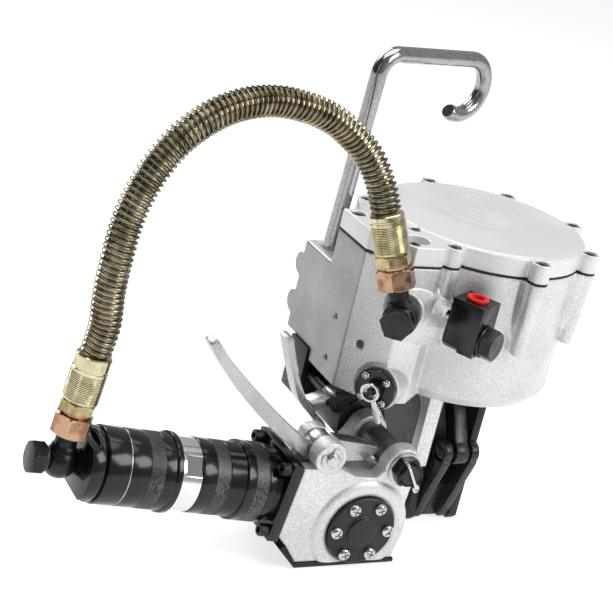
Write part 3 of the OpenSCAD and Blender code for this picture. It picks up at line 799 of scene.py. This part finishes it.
def around(where, r, angles):
    """Frames at this radius in mm round the local Z of where, one for each angle."""
    out = Matrix.Translation((r * MM, 0, 0))
    return [where @ Matrix.Rotation(angle, 4, "Z") @ out for angle in angles]


def banded(obj, where, bands):
    """Gives each band of faces, (from, to, slot) in mm along local Z, another material slot."""
    back = where.inverted()
    for face in obj.data.polygons:
        z = (back @ face.center).z / MM
        for low, high, index in bands:
            if low < z < high:
                face.material_index = index
    return obj


# ---- air motor ----


KNURL_RIBS = 120
KNURL_LEAN = 2.4
KNURL_DEPTH = 0.22
KNURL_STEP = 0.6
# Stations of the knurled bands along the motor, and of the bright line behind the last one
GEAR_BANDS = ((20, 30), (50, 60))
MOTOR_BAND = (100.2, 110.8)
BRIGHT_LINE = (124.95, 125.75)


def apart(angle, other):
    """Signed turn from one angle to another, at most half a turn."""
    return (angle - other + math.pi) % TURN - math.pi


def knurl(low, high):
    """radius rule: fine slanted ribs between two stations."""
    def rule(angle, r, z):
        if low < z < high:
            return r - KNURL_DEPTH * (0.5 + 0.5 * math.sin(angle * KNURL_RIBS + z * KNURL_LEAN))
        return r
    return rule


def knurl_rows(low, high, r):
    """Profile rows close enough together to carry a knurl."""
    count = round((high - low) / KNURL_STEP)
    return [(low + (high - low) * k / count, r) for k in range(count + 1)]


def make_motor():
    # Fixed barrel next to the gearbox: two knurled bands and a step between them
    first, second = (knurl(*band) for band in GEAR_BANDS)
    profile = eased(
        [(13.1, 0), (13.1, 27.6), (14, 28.5), (19.2, 28.5), (19.4, 28.2), (19.8, 28.2), (20, 28.5)], 0.2
    )
    profile += knurl_rows(20.01, 29.99, 28.5) + eased(
        [(30, 28.5), (30.2, 28.2), (30.6, 28.2), (30.8, 28.5), (36.6, 28.5), (37.1, 28.0), (37.1, 26.5),
         (49.2, 26.5), (49.4, 26.2), (49.8, 26.2), (50, 26.5)], 0.2
    )
    profile += knurl_rows(50.01, 59.99, 26.5) + eased(
        [(60, 26.5), (60.2, 26.2), (60.6, 26.2), (60.8, 26.5), (70.4, 26.5), (71.05, 25.9), (71.05, 0)], 0.2
    )
    barrel = turned(
        "gear_barrel_turned", MOTOR, profile, 360,
        lambda a, r, z: second(a, first(a, r, z), z), sharp=30,
    )
    paint(barrel, "anodised", "knurled")
    stand_for(banded(barrel, MOTOR, [(*band, 1) for band in GEAR_BANDS]), "gear_barrel")

    # Locking collar with three milled flats
    flats = [math.radians(v) for v in (190, 310, 70)]
    flat_low, flat_high = 72, 84.2

    def off_flat(angle):
        """Angle to the nearest flat's middle."""
        return min(abs(apart(angle, flat)) for flat in flats)

    def milled(angle, r, z):
        off = off_flat(angle)
        return min(r, 24.9 / math.cos(off)) if flat_low < z < flat_high and off < 0.43 else r

    profile = [
        (71.15, 0), (71.15, 25.4), (71.7, 26), (72.1, 26), (72.15, 26), (78, 26), (84.1, 26),
        (84.25, 26), (86.6, 26), (87.15, 25.4), (87.15, 0),
    ]
    collar = turned("lock_collar_turned", MOTOR, profile, 180, milled, sharp=20)
    paint(collar, "collar", "flat_dark")
    back = MOTOR.inverted()
    for face in collar.data.polygons:
        at = back @ face.center
        height, reach = at.z / MM, Vector((at.x, at.y)).length / MM
        on_flat = off_flat(math.atan2(at.y, at.x) % TURN) < 0.29 and reach < 26.1
        if on_flat and flat_low + 0.1 < height < flat_high:
            face.material_index = 1
    stand_for(collar, "lock_collar")

    # Air motor barrel: raised ring, knurled band, thin bright groove
    profile = eased([(87.2, 0), (87.2, 27.9), (87.8, 28.5), (91.4, 28.5), (92.1, 27.6), (92.4, 27.0)], 0.2)
    profile += eased([(92.4, 27), (99.4, 27), (99.6, 26.7), (99.9, 26.7), (100.1, 27)], 0.15)
    profile += knurl_rows(*MOTOR_BAND, 27) + eased(
        [(110.9, 27), (111.1, 26.7), (111.4, 26.7), (111.6, 27), (124.6, 27), (125.0, 26.6), (125.7, 26.6),
         (126.1, 27), (141.4, 27), (142.2, 26.2), (142.2, 0)], 0.2
    )
    motor = turned("motor_barrel_turned", MOTOR, profile, 360, knurl(*MOTOR_BAND), sharp=30)
    paint(motor, "anodised", "knurled", "bright_line")
    stand_for(banded(motor, MOTOR, [(*MOTOR_BAND, 1), (*BRIGHT_LINE, 2)]), "motor_barrel")

    # Air fitting on the end of the motor
    ball = [(154.4, 0), (154.4, 8.8), (155.2, 9.0), (156.0, 9.2)]
    for k in range(13):
        t = math.radians(-78 + 13 * k)
        ball.append((MOTOR_BANJO_AT + 10.2 * math.sin(t), 4.0 + 8.4 * math.cos(t)))
    ball += [(176.8, 9.0), (177.4, 8.8), (177.4, 0)]
    body = turned("motor_elbow", MOTOR, ball, 72, sharp=40)
    neck_at = place(MOTOR @ Vector((0, 0, MOTOR_BANJO_AT * MM)), motor_up, motor_out)
    neck = turned(
        "motor_elbow_neck", neck_at,
        [(4, 0), (8, 9.4), (11, 8.6), (12.2, 7.6), (16.4, 7.4), (16.8, 7.0), (17.4, 7.0), (17.8, 7.4),
         (26, 7.4), (26, 0)], 60,
    )
    set_of([body, neck], "black_oxide", "motor_banjo")
    washer = turned(
        "motor_elbow_bolt", MOTOR,
        [(150, 0), (150, 6.3), (177.8, 6.3), (177.8, 9.6), (178.1, 10), (179.1, 10), (179.4, 9.6),
         (179.4, 0)],
    )
    head = hex_nut("motor_elbow_head", MOTOR, BOLT_ACROSS, BOLT_HEIGHT, 179.3)
    set_of([washer, head], "black_oxide", "motor_banjo_bolt")
    spots = around(MOTOR, 34.6, CORNERS)
    screws = [socket_head("flange_screw", at, 4.6, 7, 4.3, 8.1) for at in spots]
    set_of(screws, "black_oxide", "flange_screws")


make_motor()

# ---- body air fitting ----


def make_body_banjo():
    at = place(hose_foot(), BANJO_OUT, hose_up())
    ring = turned(
        "body_elbow", at,
        [(2.05, 0), (2.05, 11.6), (2.4, 12), (3.3, 12), (3.6, 11.6), (3.9, 12.1), (5.2, 12.5),
         (13, 12.5), (20.6, 12.5), (22.1, 12.0), (22.4, 11.5), (22.7, 12), (23.6, 12), (23.9, 11.6),
         (23.9, 0)], 96, sharp=30,
    )
    axis_at = hose_foot() + BANJO_OUT * BANJO_HALF * MM
    neck = turned(
        "body_elbow_neck", place(axis_at, hose_up(), BANJO_OUT),
        [(6, 0), (9.5, 9.6), (12, 8.6), (13, 7.6), (17, 7.4), (17.4, 7.0), (18, 7.0), (18.4, 7.4),
         (26, 7.4), (26, 0)], 60,
    )
    set_of([ring, neck], "black_oxide", "body_banjo")
    dimple = [(33.05, 8.6), (32.95, 8.2), (33.05, 7.8), (33.05, 0)]
    head = turned(
        "body_elbow_head", at @ Matrix.Rotation(math.radians(9), 4, "Z"),
        nut_profile(BOLT_ACROSS, BOLT_HEIGHT, 24.05)[:-1] + dimple, 72, hexagon(BOLT_ACROSS), sharp=20,
    )
    show(head, "turned_black", "body_banjo_bolt")


make_body_banjo()

# ---- castings ----

FEED = joint_at("feed_spin")
LIFT = joint_at("lift_lever")
PIVOT = joint_at("tensioner_pivot")
RELEASE = joint_at("release_lever")
# Front face of the gearbox, and the most triangles that a remeshed casting keeps
FACE_Y = -92
CASTING_LIMIT = 180000
HEAD_LIMIT = 195000


def decimated(obj, limit):
    """Keeps a remeshed piece under limit triangles."""
    count = sum(len(face.vertices) - 2 for face in obj.data.polygons)
    if count > limit:
        fewer = obj.modifiers.new("fewer", "DECIMATE")
        fewer.ratio = limit / count
        evaluated(obj)
        shade(obj.data, 50)
    return obj


def make_gearbox():
    ring_at = along_y(FEED, (FACE_Y + 1.5) * MM)
    ring = [(-1, 26)]
    for k in range(11):
        t = math.pi * k / 10
        ring.append((1.2 + 3.4 * math.sin(t), 32.2 - 6.2 * math.cos(t)))
    ring.append((-1, 39.5))
    swell = turned("gearbox_swell", ring_at, ring, 96, loop=True)
    lever_boss = turned(
        "gearbox_lever_boss", along_y(LIFT, -82 * MM),
        [(-1, 0), (-1, 12.8), (6, 12.6), (8.6, 12.3), (10.6, 12.0), (11.4, 11.3), (11.4, 0)], 72,
    )
    nut_boss = turned(
        "gearbox_nut_boss", along_y(PIVOT, -82 * MM),
        [(-1, 0), (-1, 16), (6, 15.4), (9.4, 14.8), (10.0, 14.0), (10.0, 0)], 72,
    )
    bore_a = turned("pin_bore", along_y(LIFT, -40 * MM), [(-5, 0), (-5, 5.05), (70, 5.05), (70, 0)], 48)
    bore_b = turned("bolt_bore", along_y(PIVOT, -20 * MM), [(-5, 0), (-5, 8.1), (90, 8.1), (90, 0)], 48)
    well = turned("cover_well", along_y(FEED, -84 * MM), [(-5, 0), (-5, 17.4), (20, 17.4), (20, 0)], 72)
    seat = turned("cover_seat", along_y(FEED, FACE_Y * MM), [(0, 0), (0, 27.4), (20, 27.4), (20, 0)], 96)
    below = prism(
        "below_foot", along_y(FEED, -60 * MM), [(-60, -60), (-26.9, -60), (-26.9, 60), (-60, 60)], 60, 0
    )
    cut_by(swell, below)
    box = copy_of("gearbox_casting", "gearbox_housing")
    joined(box, swell, lever_boss, nut_boss)
    recast(box, 0.65, 7)
    cut_by(box, bore_a, bore_b, well, seat)
    decimated(box, CASTING_LIMIT)
    show(box, "cast", "gearbox_housing")

    cover_at = along_y(FEED, 0)
    cover = turned(
        "gearbox_cap", cover_at,
        [(82, 0), (82, 17), (92.1, 17), (92.1, 26.3), (92.6, 26.8), (96.2, 26.8), (97.0, 26.0),
         (97.0, 11.9), (97.25, 11.6), (98.7, 11.5), (99.3, 10.9), (99.5, 10.2), (99.5, 0)], 120, sharp=28,
    )
    show(cover, "cover_black", "gearbox_cover")
    spots = around(cover_at, 20.9, [TURN / 4 - TURN * k / 6 for k in range(6)])
    heads = [pan_head("cap_screw", at, 4.7, 3.5, 97.05) for at in spots]
    set_of(heads, "bright", "gearbox_cover_screws")


make_gearbox()


# Small drilled oil holes of the head casting: x, y, z and radius; two in the cylinder's wall, which
# point to its axis, and two in the front face
CYLINDER_PITS = ((-36, -71, 205, 1.7), (-50, -62, 196, 1.9))
FACE_PITS = ((-67, -66, 150, 2.3), (-68, -66, 136, 1.9))
FACE_OUT = level(-126)
INLET_AT = Vector((-48, -86.5, 184)) * MM
INLET_OUT = level(-60)
INLET_BACK = level(120)
EAR_RING = 78.5
SCREW_RING = 84


def ear_blends():
    """Fillets that run the screw posts into the cylinder."""
    blends = []
    for angle in (-90, -45, 0, 45, 90, 135):
        spot = level(angle) * (EAR_RING * MM)
        at = Matrix.Translation((spot.x, spot.y, 0)) @ Matrix.Rotation(math.radians(angle), 4, "Z")
        profile = [(172, 0), (174, 3), (180, 6), (190, 8.2), (205, 9.6), (224.3, 10.4), (224.3, 0)]
        blends.append(turned("ear_blend", at, profile, 36))
    return blends


def make_head_casting():
    cone = turned(
        "inlet_boss", place(INLET_AT, INLET_BACK, UP),
        [(12.6, 0), (12.6, 12.6), (13.1, 13.4), (15, 14.2), (19, 15.4), (24, 17.6), (30, 21.5),
         (36, 27), (36, 0)], 72,
    )
    seat = turned(
        "elbow_boss", place(hose_foot(), BANJO_OUT, UP),
        [(2, 0), (2, 13.2), (1.2, 14), (-4, 15), (-12, 17.5), (-22, 22), (-22, 0)], 72,
    )
    casting = copy_of("head_casting", "main_housing")
    strut_back = prism(
        "strut_back", place((-41 * MM, 0, 0), (1, 0, 0), UP),
        [(50, 43), (100, 43), (105, 41.5), (109, 38), (111.5, 33), (112, 27), (112, 18), (50, 18)], 14, 0,
    )
    cut_by(casting, strut_back)
    joined(casting, cone, seat, *ear_blends())
    recast(casting, 0.85, 4)
    pits = [(*pit, Vector((*pit[:2], 0)).normalized()) for pit in CYLINDER_PITS]
    pits += [(*pit, FACE_OUT) for pit in FACE_PITS]
    for x, y, z, r, out in pits:
        at = place(Vector((x, y, z)) * MM, out, UP)
        cut_by(casting, turned("pit", at, [(-3, 0), (-3, r), (2, r), (30, r), (30, 0)], 24))
    decimated(casting, HEAD_LIMIT)
    paint(casting, "cast", "cast_left")
    # Faces turned to -X take the darker copy of the cast finish: painted shade on the casting's left side
    for face in casting.data.polygons:
        if face.normal.x < -0.8 and face.center.x < -0.1:
            face.material_index = 1
    stand_for(casting, "main_housing")

    cover = copy_of("cover_casting", "cylinder_cover")
    recast(cover, 0.7, 3)
    for r in (11, 19, 30, 44):
        groove = turned(
            "cover_groove", Matrix.Translation((11 * MM, 16 * MM, 241 * MM)),
            [(-0.18, r - 0.3), (1, r - 0.7), (1, r + 0.7), (-0.18, r + 0.3)], 120, loop=True,
        )
        cut_by(cover, groove)
    decimated(cover, CASTING_LIMIT)
    show(cover, "cover", "cylinder_cover")


make_head_casting()


def make_cover_screws():
    ring = [level(angle) * SCREW_RING for angle in (-135, -90, -45, 0, 45, 90, 135)]
    large = [(spot.x, spot.y) for spot in ring] + [(-109, -3), (-84, 31)]
    small = [(-76, -29), (-92, -58)]
    made = []
    for spots, r, height, socket, start in ((large, 5, 6, 4.75, 233), (small, 4, 4.8, 3.8, 235)):
        for x, y in spots:
            at = Matrix.Translation((x * MM, y * MM, 0))
            made.append(socket_head("cover_screw", at, r, height, socket, start))
    set_of(made, "screw_dark", "cover_screws")


make_cover_screws()

# ---- valve ----


VALVE_OUT = level(-141)
BLADE_TURN = math.radians(210)


def make_valve():
    at = place(joint_at("valve_handle"), VALVE_OUT, UP)
    disc = turned(
        "valve_disc", at,
        [(4.05, 0), (4.05, 15.1), (4.4, 15.5), (8.2, 15.5), (9.05, 14.7), (9.05, 9.2), (8.7, 9.0),
         (8.7, 4.2), (8.7, 0)], 96,
    )
    show(disc, "anodised", "valve_flange")
    heads = [pan_head("valve_screw", spot, 2.9, 2.2, 9.07) for spot in around(at, 11.5, CORNERS)]
    set_of(heads, "bright", "valve_screws")
    knob = turned(
        "valve_knob", at,
        [(8.8, 0), (8.8, 5.4), (11.4, 5.4), (12.4, 7.0), (13.0, 7.3), (16.8, 7.3), (17.35, 6.8),
         (17.35, 5.6), (17.0, 5.2), (12.8, 4.9), (12.8, 0)], 72, sharp=30,
    )
    core = turned(
        "valve_core", at, [(12.6, 0), (12.6, 3.4), (16.2, 3.4), (16.5, 3.0), (16.5, 0)], 48,
        lambda a, r, z: r * (0.8 + 0.2 * math.cos(6 * a)), sharp=30,
    )
    paint(knob, "bright")
    paint(core, "turned_black")
    joined(knob, core)
    blade_at = at @ Matrix.Rotation(BLADE_TURN, 4, "Z") @ Matrix.Translation((0, 0, 12.05 * MM))
    edge = [(5.0, 1.9), (12, 2.2), (17, 3.1), (20, 3.5), (22.2, 3.0), (23.6, 1.6)]
    outline = [(x, -y) for x, y in edge] + [(24, 0)] + edge[::-1]
    blade = prism("valve_blade", blade_at, outline, 4, 0.7, 3)
    paint(blade, "bright")
    joined(knob, blade)
    stand_for(knob, "valve_lever")


make_valve()

# ---- levers ----


def rounded_path(points, count=10):
    """Smooth curve through points in the plane, for an outline."""
    padded = [Vector(point) for point in (points[0], *points, points[-1])]
    result = []
    for a, b, c, d in zip(padded, padded[1:], padded[2:], padded[3:]):
        result += [tuple(between(a, b, c, d, k / count)) for k in range(count)]
    result.append(tuple(points[-1]))
    return result


def side_on(y):
    """Frame for an outline in X and Z, which grows towards the operator from this Y."""
    return place((0, y * MM, 0), FRONT, (1, 0, 0))


PAD_LOW = Vector((-229.5, 163.5))
PAD_HIGH = Vector((-237, 172.3))
PAD_RIBS = 9


def make_lift_lever():
    flat = side_on(-67)
    upper = rounded_path(
        [(-131, 100), (-148, 95), (-171, 110.5), (-203, 138.5), (-228, 162.5), (-236, 172)]
    )
    lower = rounded_path(
        [(-241, 169), (-233, 157.5), (-209, 130.5), (-178, 102.5), (-147, 81), (-138, 78.2)]
    )
    arm = prism("lift_arm", flat, upper + lower, 12, 0.5)
    tail = prism(
        "lift_tail", flat,
        [(-139, 99.5), (-126, 96.5), (-110, 93.6), (-93, 90), (-91.6, 87.4), (-93, 84.6), (-103, 79.2),
         (-131, 79)], 12, 0.6,
    )
    hub = turned(
        "lift_hub", along_y(LIFT, -67 * MM), eased([(0, 0), (0, 10.9), (12, 10.9), (12, 0)], 0.8), 72,
    )
    pad = prism(
        "lift_pad", side_on(-66.8),
        [(-227.6, 162.4), (-235.8, 172.2), (-237.6, 171.5), (-240.8, 169.4), (-233.2, 158.2)], 12.4, 0.4,
    )
    lever = joined(paint(arm, "lever"), paint(tail, "lever"), paint(hub, "lever"), paint(pad, "plate"))
    ribs = []
    for k in range(PAD_RIBS):
        spot = PAD_LOW.lerp(PAD_HIGH, 0.1 + 0.1 * k)
        rib = prism(
            "rib", place((spot.x * MM, -67.6 * MM, spot.y * MM), FRONT, (0.65, 0, 0.76)),
            [(-0.28, -0.5), (0.28, -0.5), (0.28, 0.45), (-0.28, 0.45)], 10.8, 0,
        )
        ribs.append(paint(rib, "plate"))
    stand_for(joined(lever, *ribs), "lift_lever")

    pin = turned(
        "lift_pin_turned", along_y(LIFT, 0),
        [(54, 0), (51.2, 0), (51.2, 7.6), (51.6, 8), (53.6, 8), (54.05, 7.6), (54.05, 4.9), (92, 4.9),
         (93.6, 4.9), (93.9, 4.3), (94.6, 4.3), (94.9, 4.9), (96.2, 4.9), (97, 4.1), (97, 0)], 60, sharp=30,
    )

    def open_ring(angle, r, z):
        return r if r < 5 or abs(apart(angle, 0.6)) > 0.5 else 5.2

    clip = turned(
        "lift_clip", along_y(LIFT, 0), [(93.9, 4.2), (93.9, 8.4), (94.6, 8.4), (94.6, 4.2)], 60,
        open_ring, loop=True, sharp=30,
    )
    set_of([pin, clip], "pin", "lift_pin")


def make_release_lever():
    blade_at = side_on(-24)
    outline = rounded_path([(-163, 155), (-157.5, 156)], 1)
    outline += rounded_path([(-155.8, 151.6), (-151, 139), (-147.6, 131), (-147, 128)], 4)
    outline += rounded_path([(-146.4, 126.2), (-137, 110), (-126, 97.4), (-116, 88), (-113, 82)], 6)
    outline += rounded_path(
        [(-117, 80), (-121, 86), (-131.5, 96), (-142, 107), (-151, 126), (-157, 140)], 6
    )
    blade = prism("release_blade", blade_at, outline, 14, 0.6)
    hub = turned(
        "release_hub", along_y(RELEASE, -24 * MM), eased([(0, 0), (0, 7), (14, 7), (14, 0)], 0.6), 60,
    )
    web = prism("release_web", blade_at, [(-131, 104), (-127, 97), (-116.5, 100), (-112, 110)], 14, 0.5)
    set_of([blade, hub, web], "plate", "rear_lever")
    pin = turned(
        "release_pin", along_y(RELEASE, 0),
        [(-40, 0), (-40, 4.5), (-39.5, 4.95), (38.1, 4.95), (38.1, 7.6), (38.5, 8), (39.6, 8),
         (39.9, 7.5), (40.3, 7.5), (40.6, 8), (41.6, 8), (42.1, 7.4), (42.1, 4.2), (41.5, 3.8),
         (41.5, 0)], 60, sharp=30,
    )
    show(pin, "black_oxide", "rear_lever_pin")


make_lift_lever()
make_release_lever()

# ---- hinge hardware ----


def make_hinge():
    at = along_y(PIVOT, -94.15 * MM)

    def slotted(angle, r, z):
        off = (angle + TURN / 12) % (TURN / 6) - TURN / 12
        if z > 6.05 and abs(off) < 1.6 / 9:
            return min(r, 8.15)
        if z <= 6.3:
            return min(r, 10 / math.cos(off))
        return r

    profile = [
        (0, 8), (0, 10.4), (0.5, 11.2), (0.9, 11.6), (5.0, 11.6), (5.6, 11.0), (6.2, 10.0), (6.3, 9.2),
        (6.9, 9.0), (9.4, 9.0), (9.9, 8.5), (9.9, 8.0),
    ]
    nut = turned("castle_nut_turned", at, profile, 144, slotted, loop=True, sharp=25)
    show(nut, "black_oxide", "castle_nut")
    bolt = turned(
        "hinge_bolt", along_y(PIVOT, 0),
        [(-35, 0), (-35, 10), (-34.4, 10.8), (-26.2, 10.8), (-26, 7.95), (103, 7.95), (104, 7.0),
         (104, 3.2), (103.6, 2.6), (103.6, 0)],
        72, lambda a, r, z: hexagon(22)(a, r * 1.2, z) if z < -26.1 else r, sharp=25,
    )
    show(bolt, "turned_black", "pivot_bolt")

    # Cotter pin: legs bent round the bolt's end and an eye, along a line tilted down by 60 degrees
    eye = Vector((PIVOT.x, -102.9 * MM, PIVOT.z))
    tilt = Vector((math.cos(math.radians(-60)), 0, math.sin(math.radians(-60))))

    def spot(along, out):
        return eye + tilt * along * MM + FRONT * out * MM

    def wire(name, points, r):
        path, _ = smooth_path(points, 0.7 * MM)
        return swept(name, path, lambda i, a: r, 12, side=Vector((0.3, 0.2, 0.9)), sharp=50)

    across = Vector((tilt.z, 0, -tilt.x))
    ring = []
    for k in range(13):
        t = TURN * k / 12
        ring.append(
            eye + tilt * (11.0 + 2.6 * math.cos(t)) * MM + across * 2.0 * math.sin(t) * MM
            + FRONT * (1.7 + 0.8 * math.sin(t)) * MM
        )
    leg = ((10.6, 2.3), (4, 2.3), (-3, 2.3), (-8.6, 2.2), (-10.8, 1.2), (-11.4, -1.0))
    low_leg = ((-8.2, 0.6), (-10.2, 0.4), (-11.3, -1.2), (-11.2, -3.4))
    throat = ((8.3, 1.6), (9.6, 2.2), (11.2, 2.2))
    pieces = [
        wire("cotter_leg", [spot(*at) for at in leg], 1.1),
        wire("cotter_leg_low", [spot(*at) for at in low_leg], 0.9),
        wire("cotter_eye", ring, 1.0),
        wire("cotter_throat", [spot(*at) for at in throat], 0.9),
    ]
    set_of(pieces, "bright", "cotter_pin")


make_hinge()

# ---- hook ----


# Bent bar of the hook, in its own frame: post, corner, arm and curl
HOOK_TILT = math.radians(2.5)
HOOK_TURN = math.radians(18)
HOOK_BAR_R = 6.2
HOOK_FOOT = -24
HOOK_POST_TOP = 118
HOOK_ARM_Z = 151
HOOK_CORNER_R = 16
HOOK_CURL_X = 100
HOOK_CURL_R = 22


def arc(x, z, r, start, turned_by):
    """Points on an arc in the XZ plane, clockwise from start, every 5 degrees."""
    angles = [math.radians(start - k) for k in range(0, turned_by + 1, 5)]
    return [Vector((x + r * math.cos(t), 0, z + r * math.sin(t))) for t in angles]


def make_hook():
    at = Matrix.Translation(joint_at("hook_swivel")) @ Matrix.Rotation(HOOK_TILT, 4, "Y")
    at = at @ Matrix.Rotation(HOOK_TURN, 4, "Z")
    line = [Vector((0, 0, z)) for z in (*range(HOOK_FOOT, HOOK_POST_TOP, 4), HOOK_POST_TOP)]
    line += arc(HOOK_CORNER_R, HOOK_ARM_Z - HOOK_CORNER_R, HOOK_CORNER_R, 180, 90)
    line += [Vector((x, 0, HOOK_ARM_Z)) for x in range(HOOK_CORNER_R + 4, HOOK_CURL_X, 4)]
    line += arc(HOOK_CURL_X, HOOK_ARM_Z - HOOK_CURL_R, HOOK_CURL_R, 90, 210)
    line = [at @ (p * MM) for p in line]
    ends = {0: 5.6, len(line) - 2: 6.15, len(line) - 1: 5.1}
    bar = swept("hook_bar", line, lambda i, angle: ends.get(i, HOOK_BAR_R), 40, sharp=40)
    show(bar, "chrome", "hook")


make_hook()

# ---- forged and milled parts with eased edges ----

# Node, finish and width of the eased edge in mm
EASED = (
    ("side_plate_left", "forged", 0.7), ("side_plate_right", "forged", 0.7),
    ("frame_bracket", "forged", 0.8), ("inlet_block", "block", 0.45), ("inlet_plug", "red", 0.35),
    ("motor_flange", "anodised", 0.5), ("foot_plate", "black_oxide", 0.5), ("end_cap", "anodised", 0.5),
    ("link_front", "jaw", 0.8), ("link_back", "jaw", 0.8), ("strap_foot", "jaw", 0.5),
    ("pivot_sleeve", "sleeve", 0.6), ("pivot_washer", "pin", 0.3), ("feed_wheel", "machined", 0.2),
)
for node_name, look_name, width in EASED:
    softened(node_name, look_name, width)


JAW_HALF = 15.5
FORK_GAP_HALF = 8.5
KNEE_Y = 47
KNEE_Z = 67


def make_jaw(node, side):
    """Forked jaw: two slanted arms from the knee eyes to the toe and a recessed block between."""
    arm = [
        (2, 19.5), (1, 21), (1, 33), (4, 36), (22, 41.9), (42, 48.5), (56, 53.6), (62, 55.4), (67, 47),
        (62, 37), (40, 19), (20, 18),
    ]
    web = [(3, 19), (1, 21), (1, 30), (9, 31), (30, 33), (38, 30), (38, 19), (20, 18)]
    pieces = []
    for low, high, outline, ease in (
        (-JAW_HALF, -FORK_GAP_HALF, arm, 0.9), (FORK_GAP_HALF, JAW_HALF, arm, 0.9),
        (-FORK_GAP_HALF, FORK_GAP_HALF, web, 0.4),
    ):
        at = place((low * MM, 0, 0), (1, 0, 0), UP)
        pieces.append(prism(node + "_arm", at, [(z, -side * y) for z, y in outline], high - low, ease))
    knee = Vector((0, side * KNEE_Y, KNEE_Z)) * MM
    eye = eased([(0, 0), (0, 8.9), (7, 8.9), (7, 0)], 1.4)
    for low in (-JAW_HALF, FORK_GAP_HALF):
        at = place(knee + Vector((low * MM, 0, 0)), (1, 0, 0), UP)
        pieces.append(turned(node + "_eye", at, eye, 72))
    set_of(pieces, "jaw", node)


make_jaw("jaw_front", -1)
make_jaw("jaw_back", 1)


def make_knee_pins():
    """Pins with domed ends."""
    dome = []
    for k in range(6):
        t = math.pi / 2 * k / 5
        dome.append((17.5 - 1.6 * math.sin(t) ** 2, 4.9 * math.sin(t)))
    profile = [(-z, r) for z, r in dome] + dome[::-1]
    for node in ("knee_pin_front", "knee_pin_back"):
        pin = turned(node + "_domed", place(middle(node), (1, 0, 0), UP), profile, 48, sharp=40)
        show(pin, "jaw", node)


def make_inlet_bolt():
    """Flanged bolt of the air block, with fine rings turned into its head."""
    at = place(INLET_AT, INLET_OUT, UP)
    washer = turned(
        "inlet_bolt_flange", at,
        [(12.52, 0), (12.52, 11.6), (12.9, 12), (14.0, 12), (14.5, 11.6), (14.5, 0)], 72,
    )
    top = 14.5 + BOLT_HEIGHT
    face = nut_profile(BOLT_ACROSS, BOLT_HEIGHT, 14.5)[:-1] + [(top, 9.4), (top - 0.15, 9.2), (top, 9.0)]
    for r in (7.6, 6.2, 4.8, 3.4, 2.0):
        face += [(top, r + 0.25), (top - 0.12, r), (top, r - 0.25)]
    face.append((top, 0))
    head = turned("inlet_bolt_head", at, face, 72, hexagon(BOLT_ACROSS), sharp=20)
    set_of([washer, head], "turned_black", "inlet_bolt")


make_knee_pins()
make_inlet_bolt()


# ---- floor and light ----

centre = (cad_low + cad_high) / 2


def make_stage():
    bm = bmesh.new()
    bmesh.ops.create_grid(bm, x_segments=4, y_segments=4, size=12)
    floor = from_bmesh("floor", bm)
    floor.location.z = cad_low.z - 0.0005
    material = bpy.data.materials.new("floor_paper")
    material.use_nodes = True
    tree = material.node_tree
    where = tree.nodes.new("ShaderNodeTexCoord").outputs["Object"]
    paper = colour_mix(tree, noise_at(tree, where, 3.0), 0.52, 0.56)
    shader = tree.nodes["Principled BSDF"]
    tree.links.new(paper, shader.inputs["Base Color"])
    for key, value in (
        ("Roughness", 0.9), ("Emission Color", (1, 1, 1, 1)), ("Emission Strength", 0.74),
        ("Specular IOR Level", 0.1),
    ):
        shader.inputs[key].default_value = value
    floor.data.materials.append(material)


def area_light(name, at, size, power):
    """Rectangular lamp aimed at the middle of the part."""
    data = bpy.data.lights.new(name, "AREA")
    data.shape = "RECTANGLE"
    data.size, data.size_y = size
    data.energy = power
    lamp = bpy.data.objects.new(name, data)
    link(lamp)
    lamp.location = at
    lamp.rotation_mode = "QUATERNION"
    lamp.rotation_quaternion = (centre - Vector(at)).to_track_quat("-Z", "Y")


def make_world():
    world = bpy.data.worlds.new("studio")
    world.use_nodes = True
    tree = world.node_tree
    tree.nodes.clear()
    out = tree.nodes.new("ShaderNodeOutputWorld")
    seen = tree.nodes.new("ShaderNodeBackground")
    seen.inputs["Color"].default_value = (1, 1, 1, 1)
    seen.inputs["Strength"].default_value = 1.0
    lit = tree.nodes.new("ShaderNodeBackground")
    lit.inputs["Color"].default_value = (0.93, 0.95, 1.0, 1)
    facing = tree.nodes.new("ShaderNodeSeparateXYZ")
    tree.links.new(tree.nodes.new("ShaderNodeTexCoord").outputs["Generated"], facing.inputs[0])
    tree.links.new(spread(tree, facing.outputs["X"], 0.06, 0.52, -0.9, 0.7), lit.inputs["Strength"])
    path = tree.nodes.new("ShaderNodeLightPath")
    mix = tree.nodes.new("ShaderNodeMixShader")
    tree.links.new(path.outputs["Is Camera Ray"], mix.inputs["Fac"])
    tree.links.new(lit.outputs["Background"], mix.inputs[1])
    tree.links.new(seen.outputs["Background"], mix.inputs[2])
    tree.links.new(mix.outputs["Shader"], out.inputs["Surface"])
    bpy.context.scene.world = world


make_stage()
make_world()
area_light("key", (0.9, -1.3, 1.3), (0.9, 0.9), 17)
area_light("top", (-0.1, 0.1, 1.7), (1.6, 1.2), 14)
area_light("left", (-1.7, -0.9, 0.9), (0.3, 1.2), 0.8)
area_light("back", (-0.3, 1.5, 1.1), (1.2, 0.6), 14)
bpy.context.scene.view_settings.view_transform = "Standard"
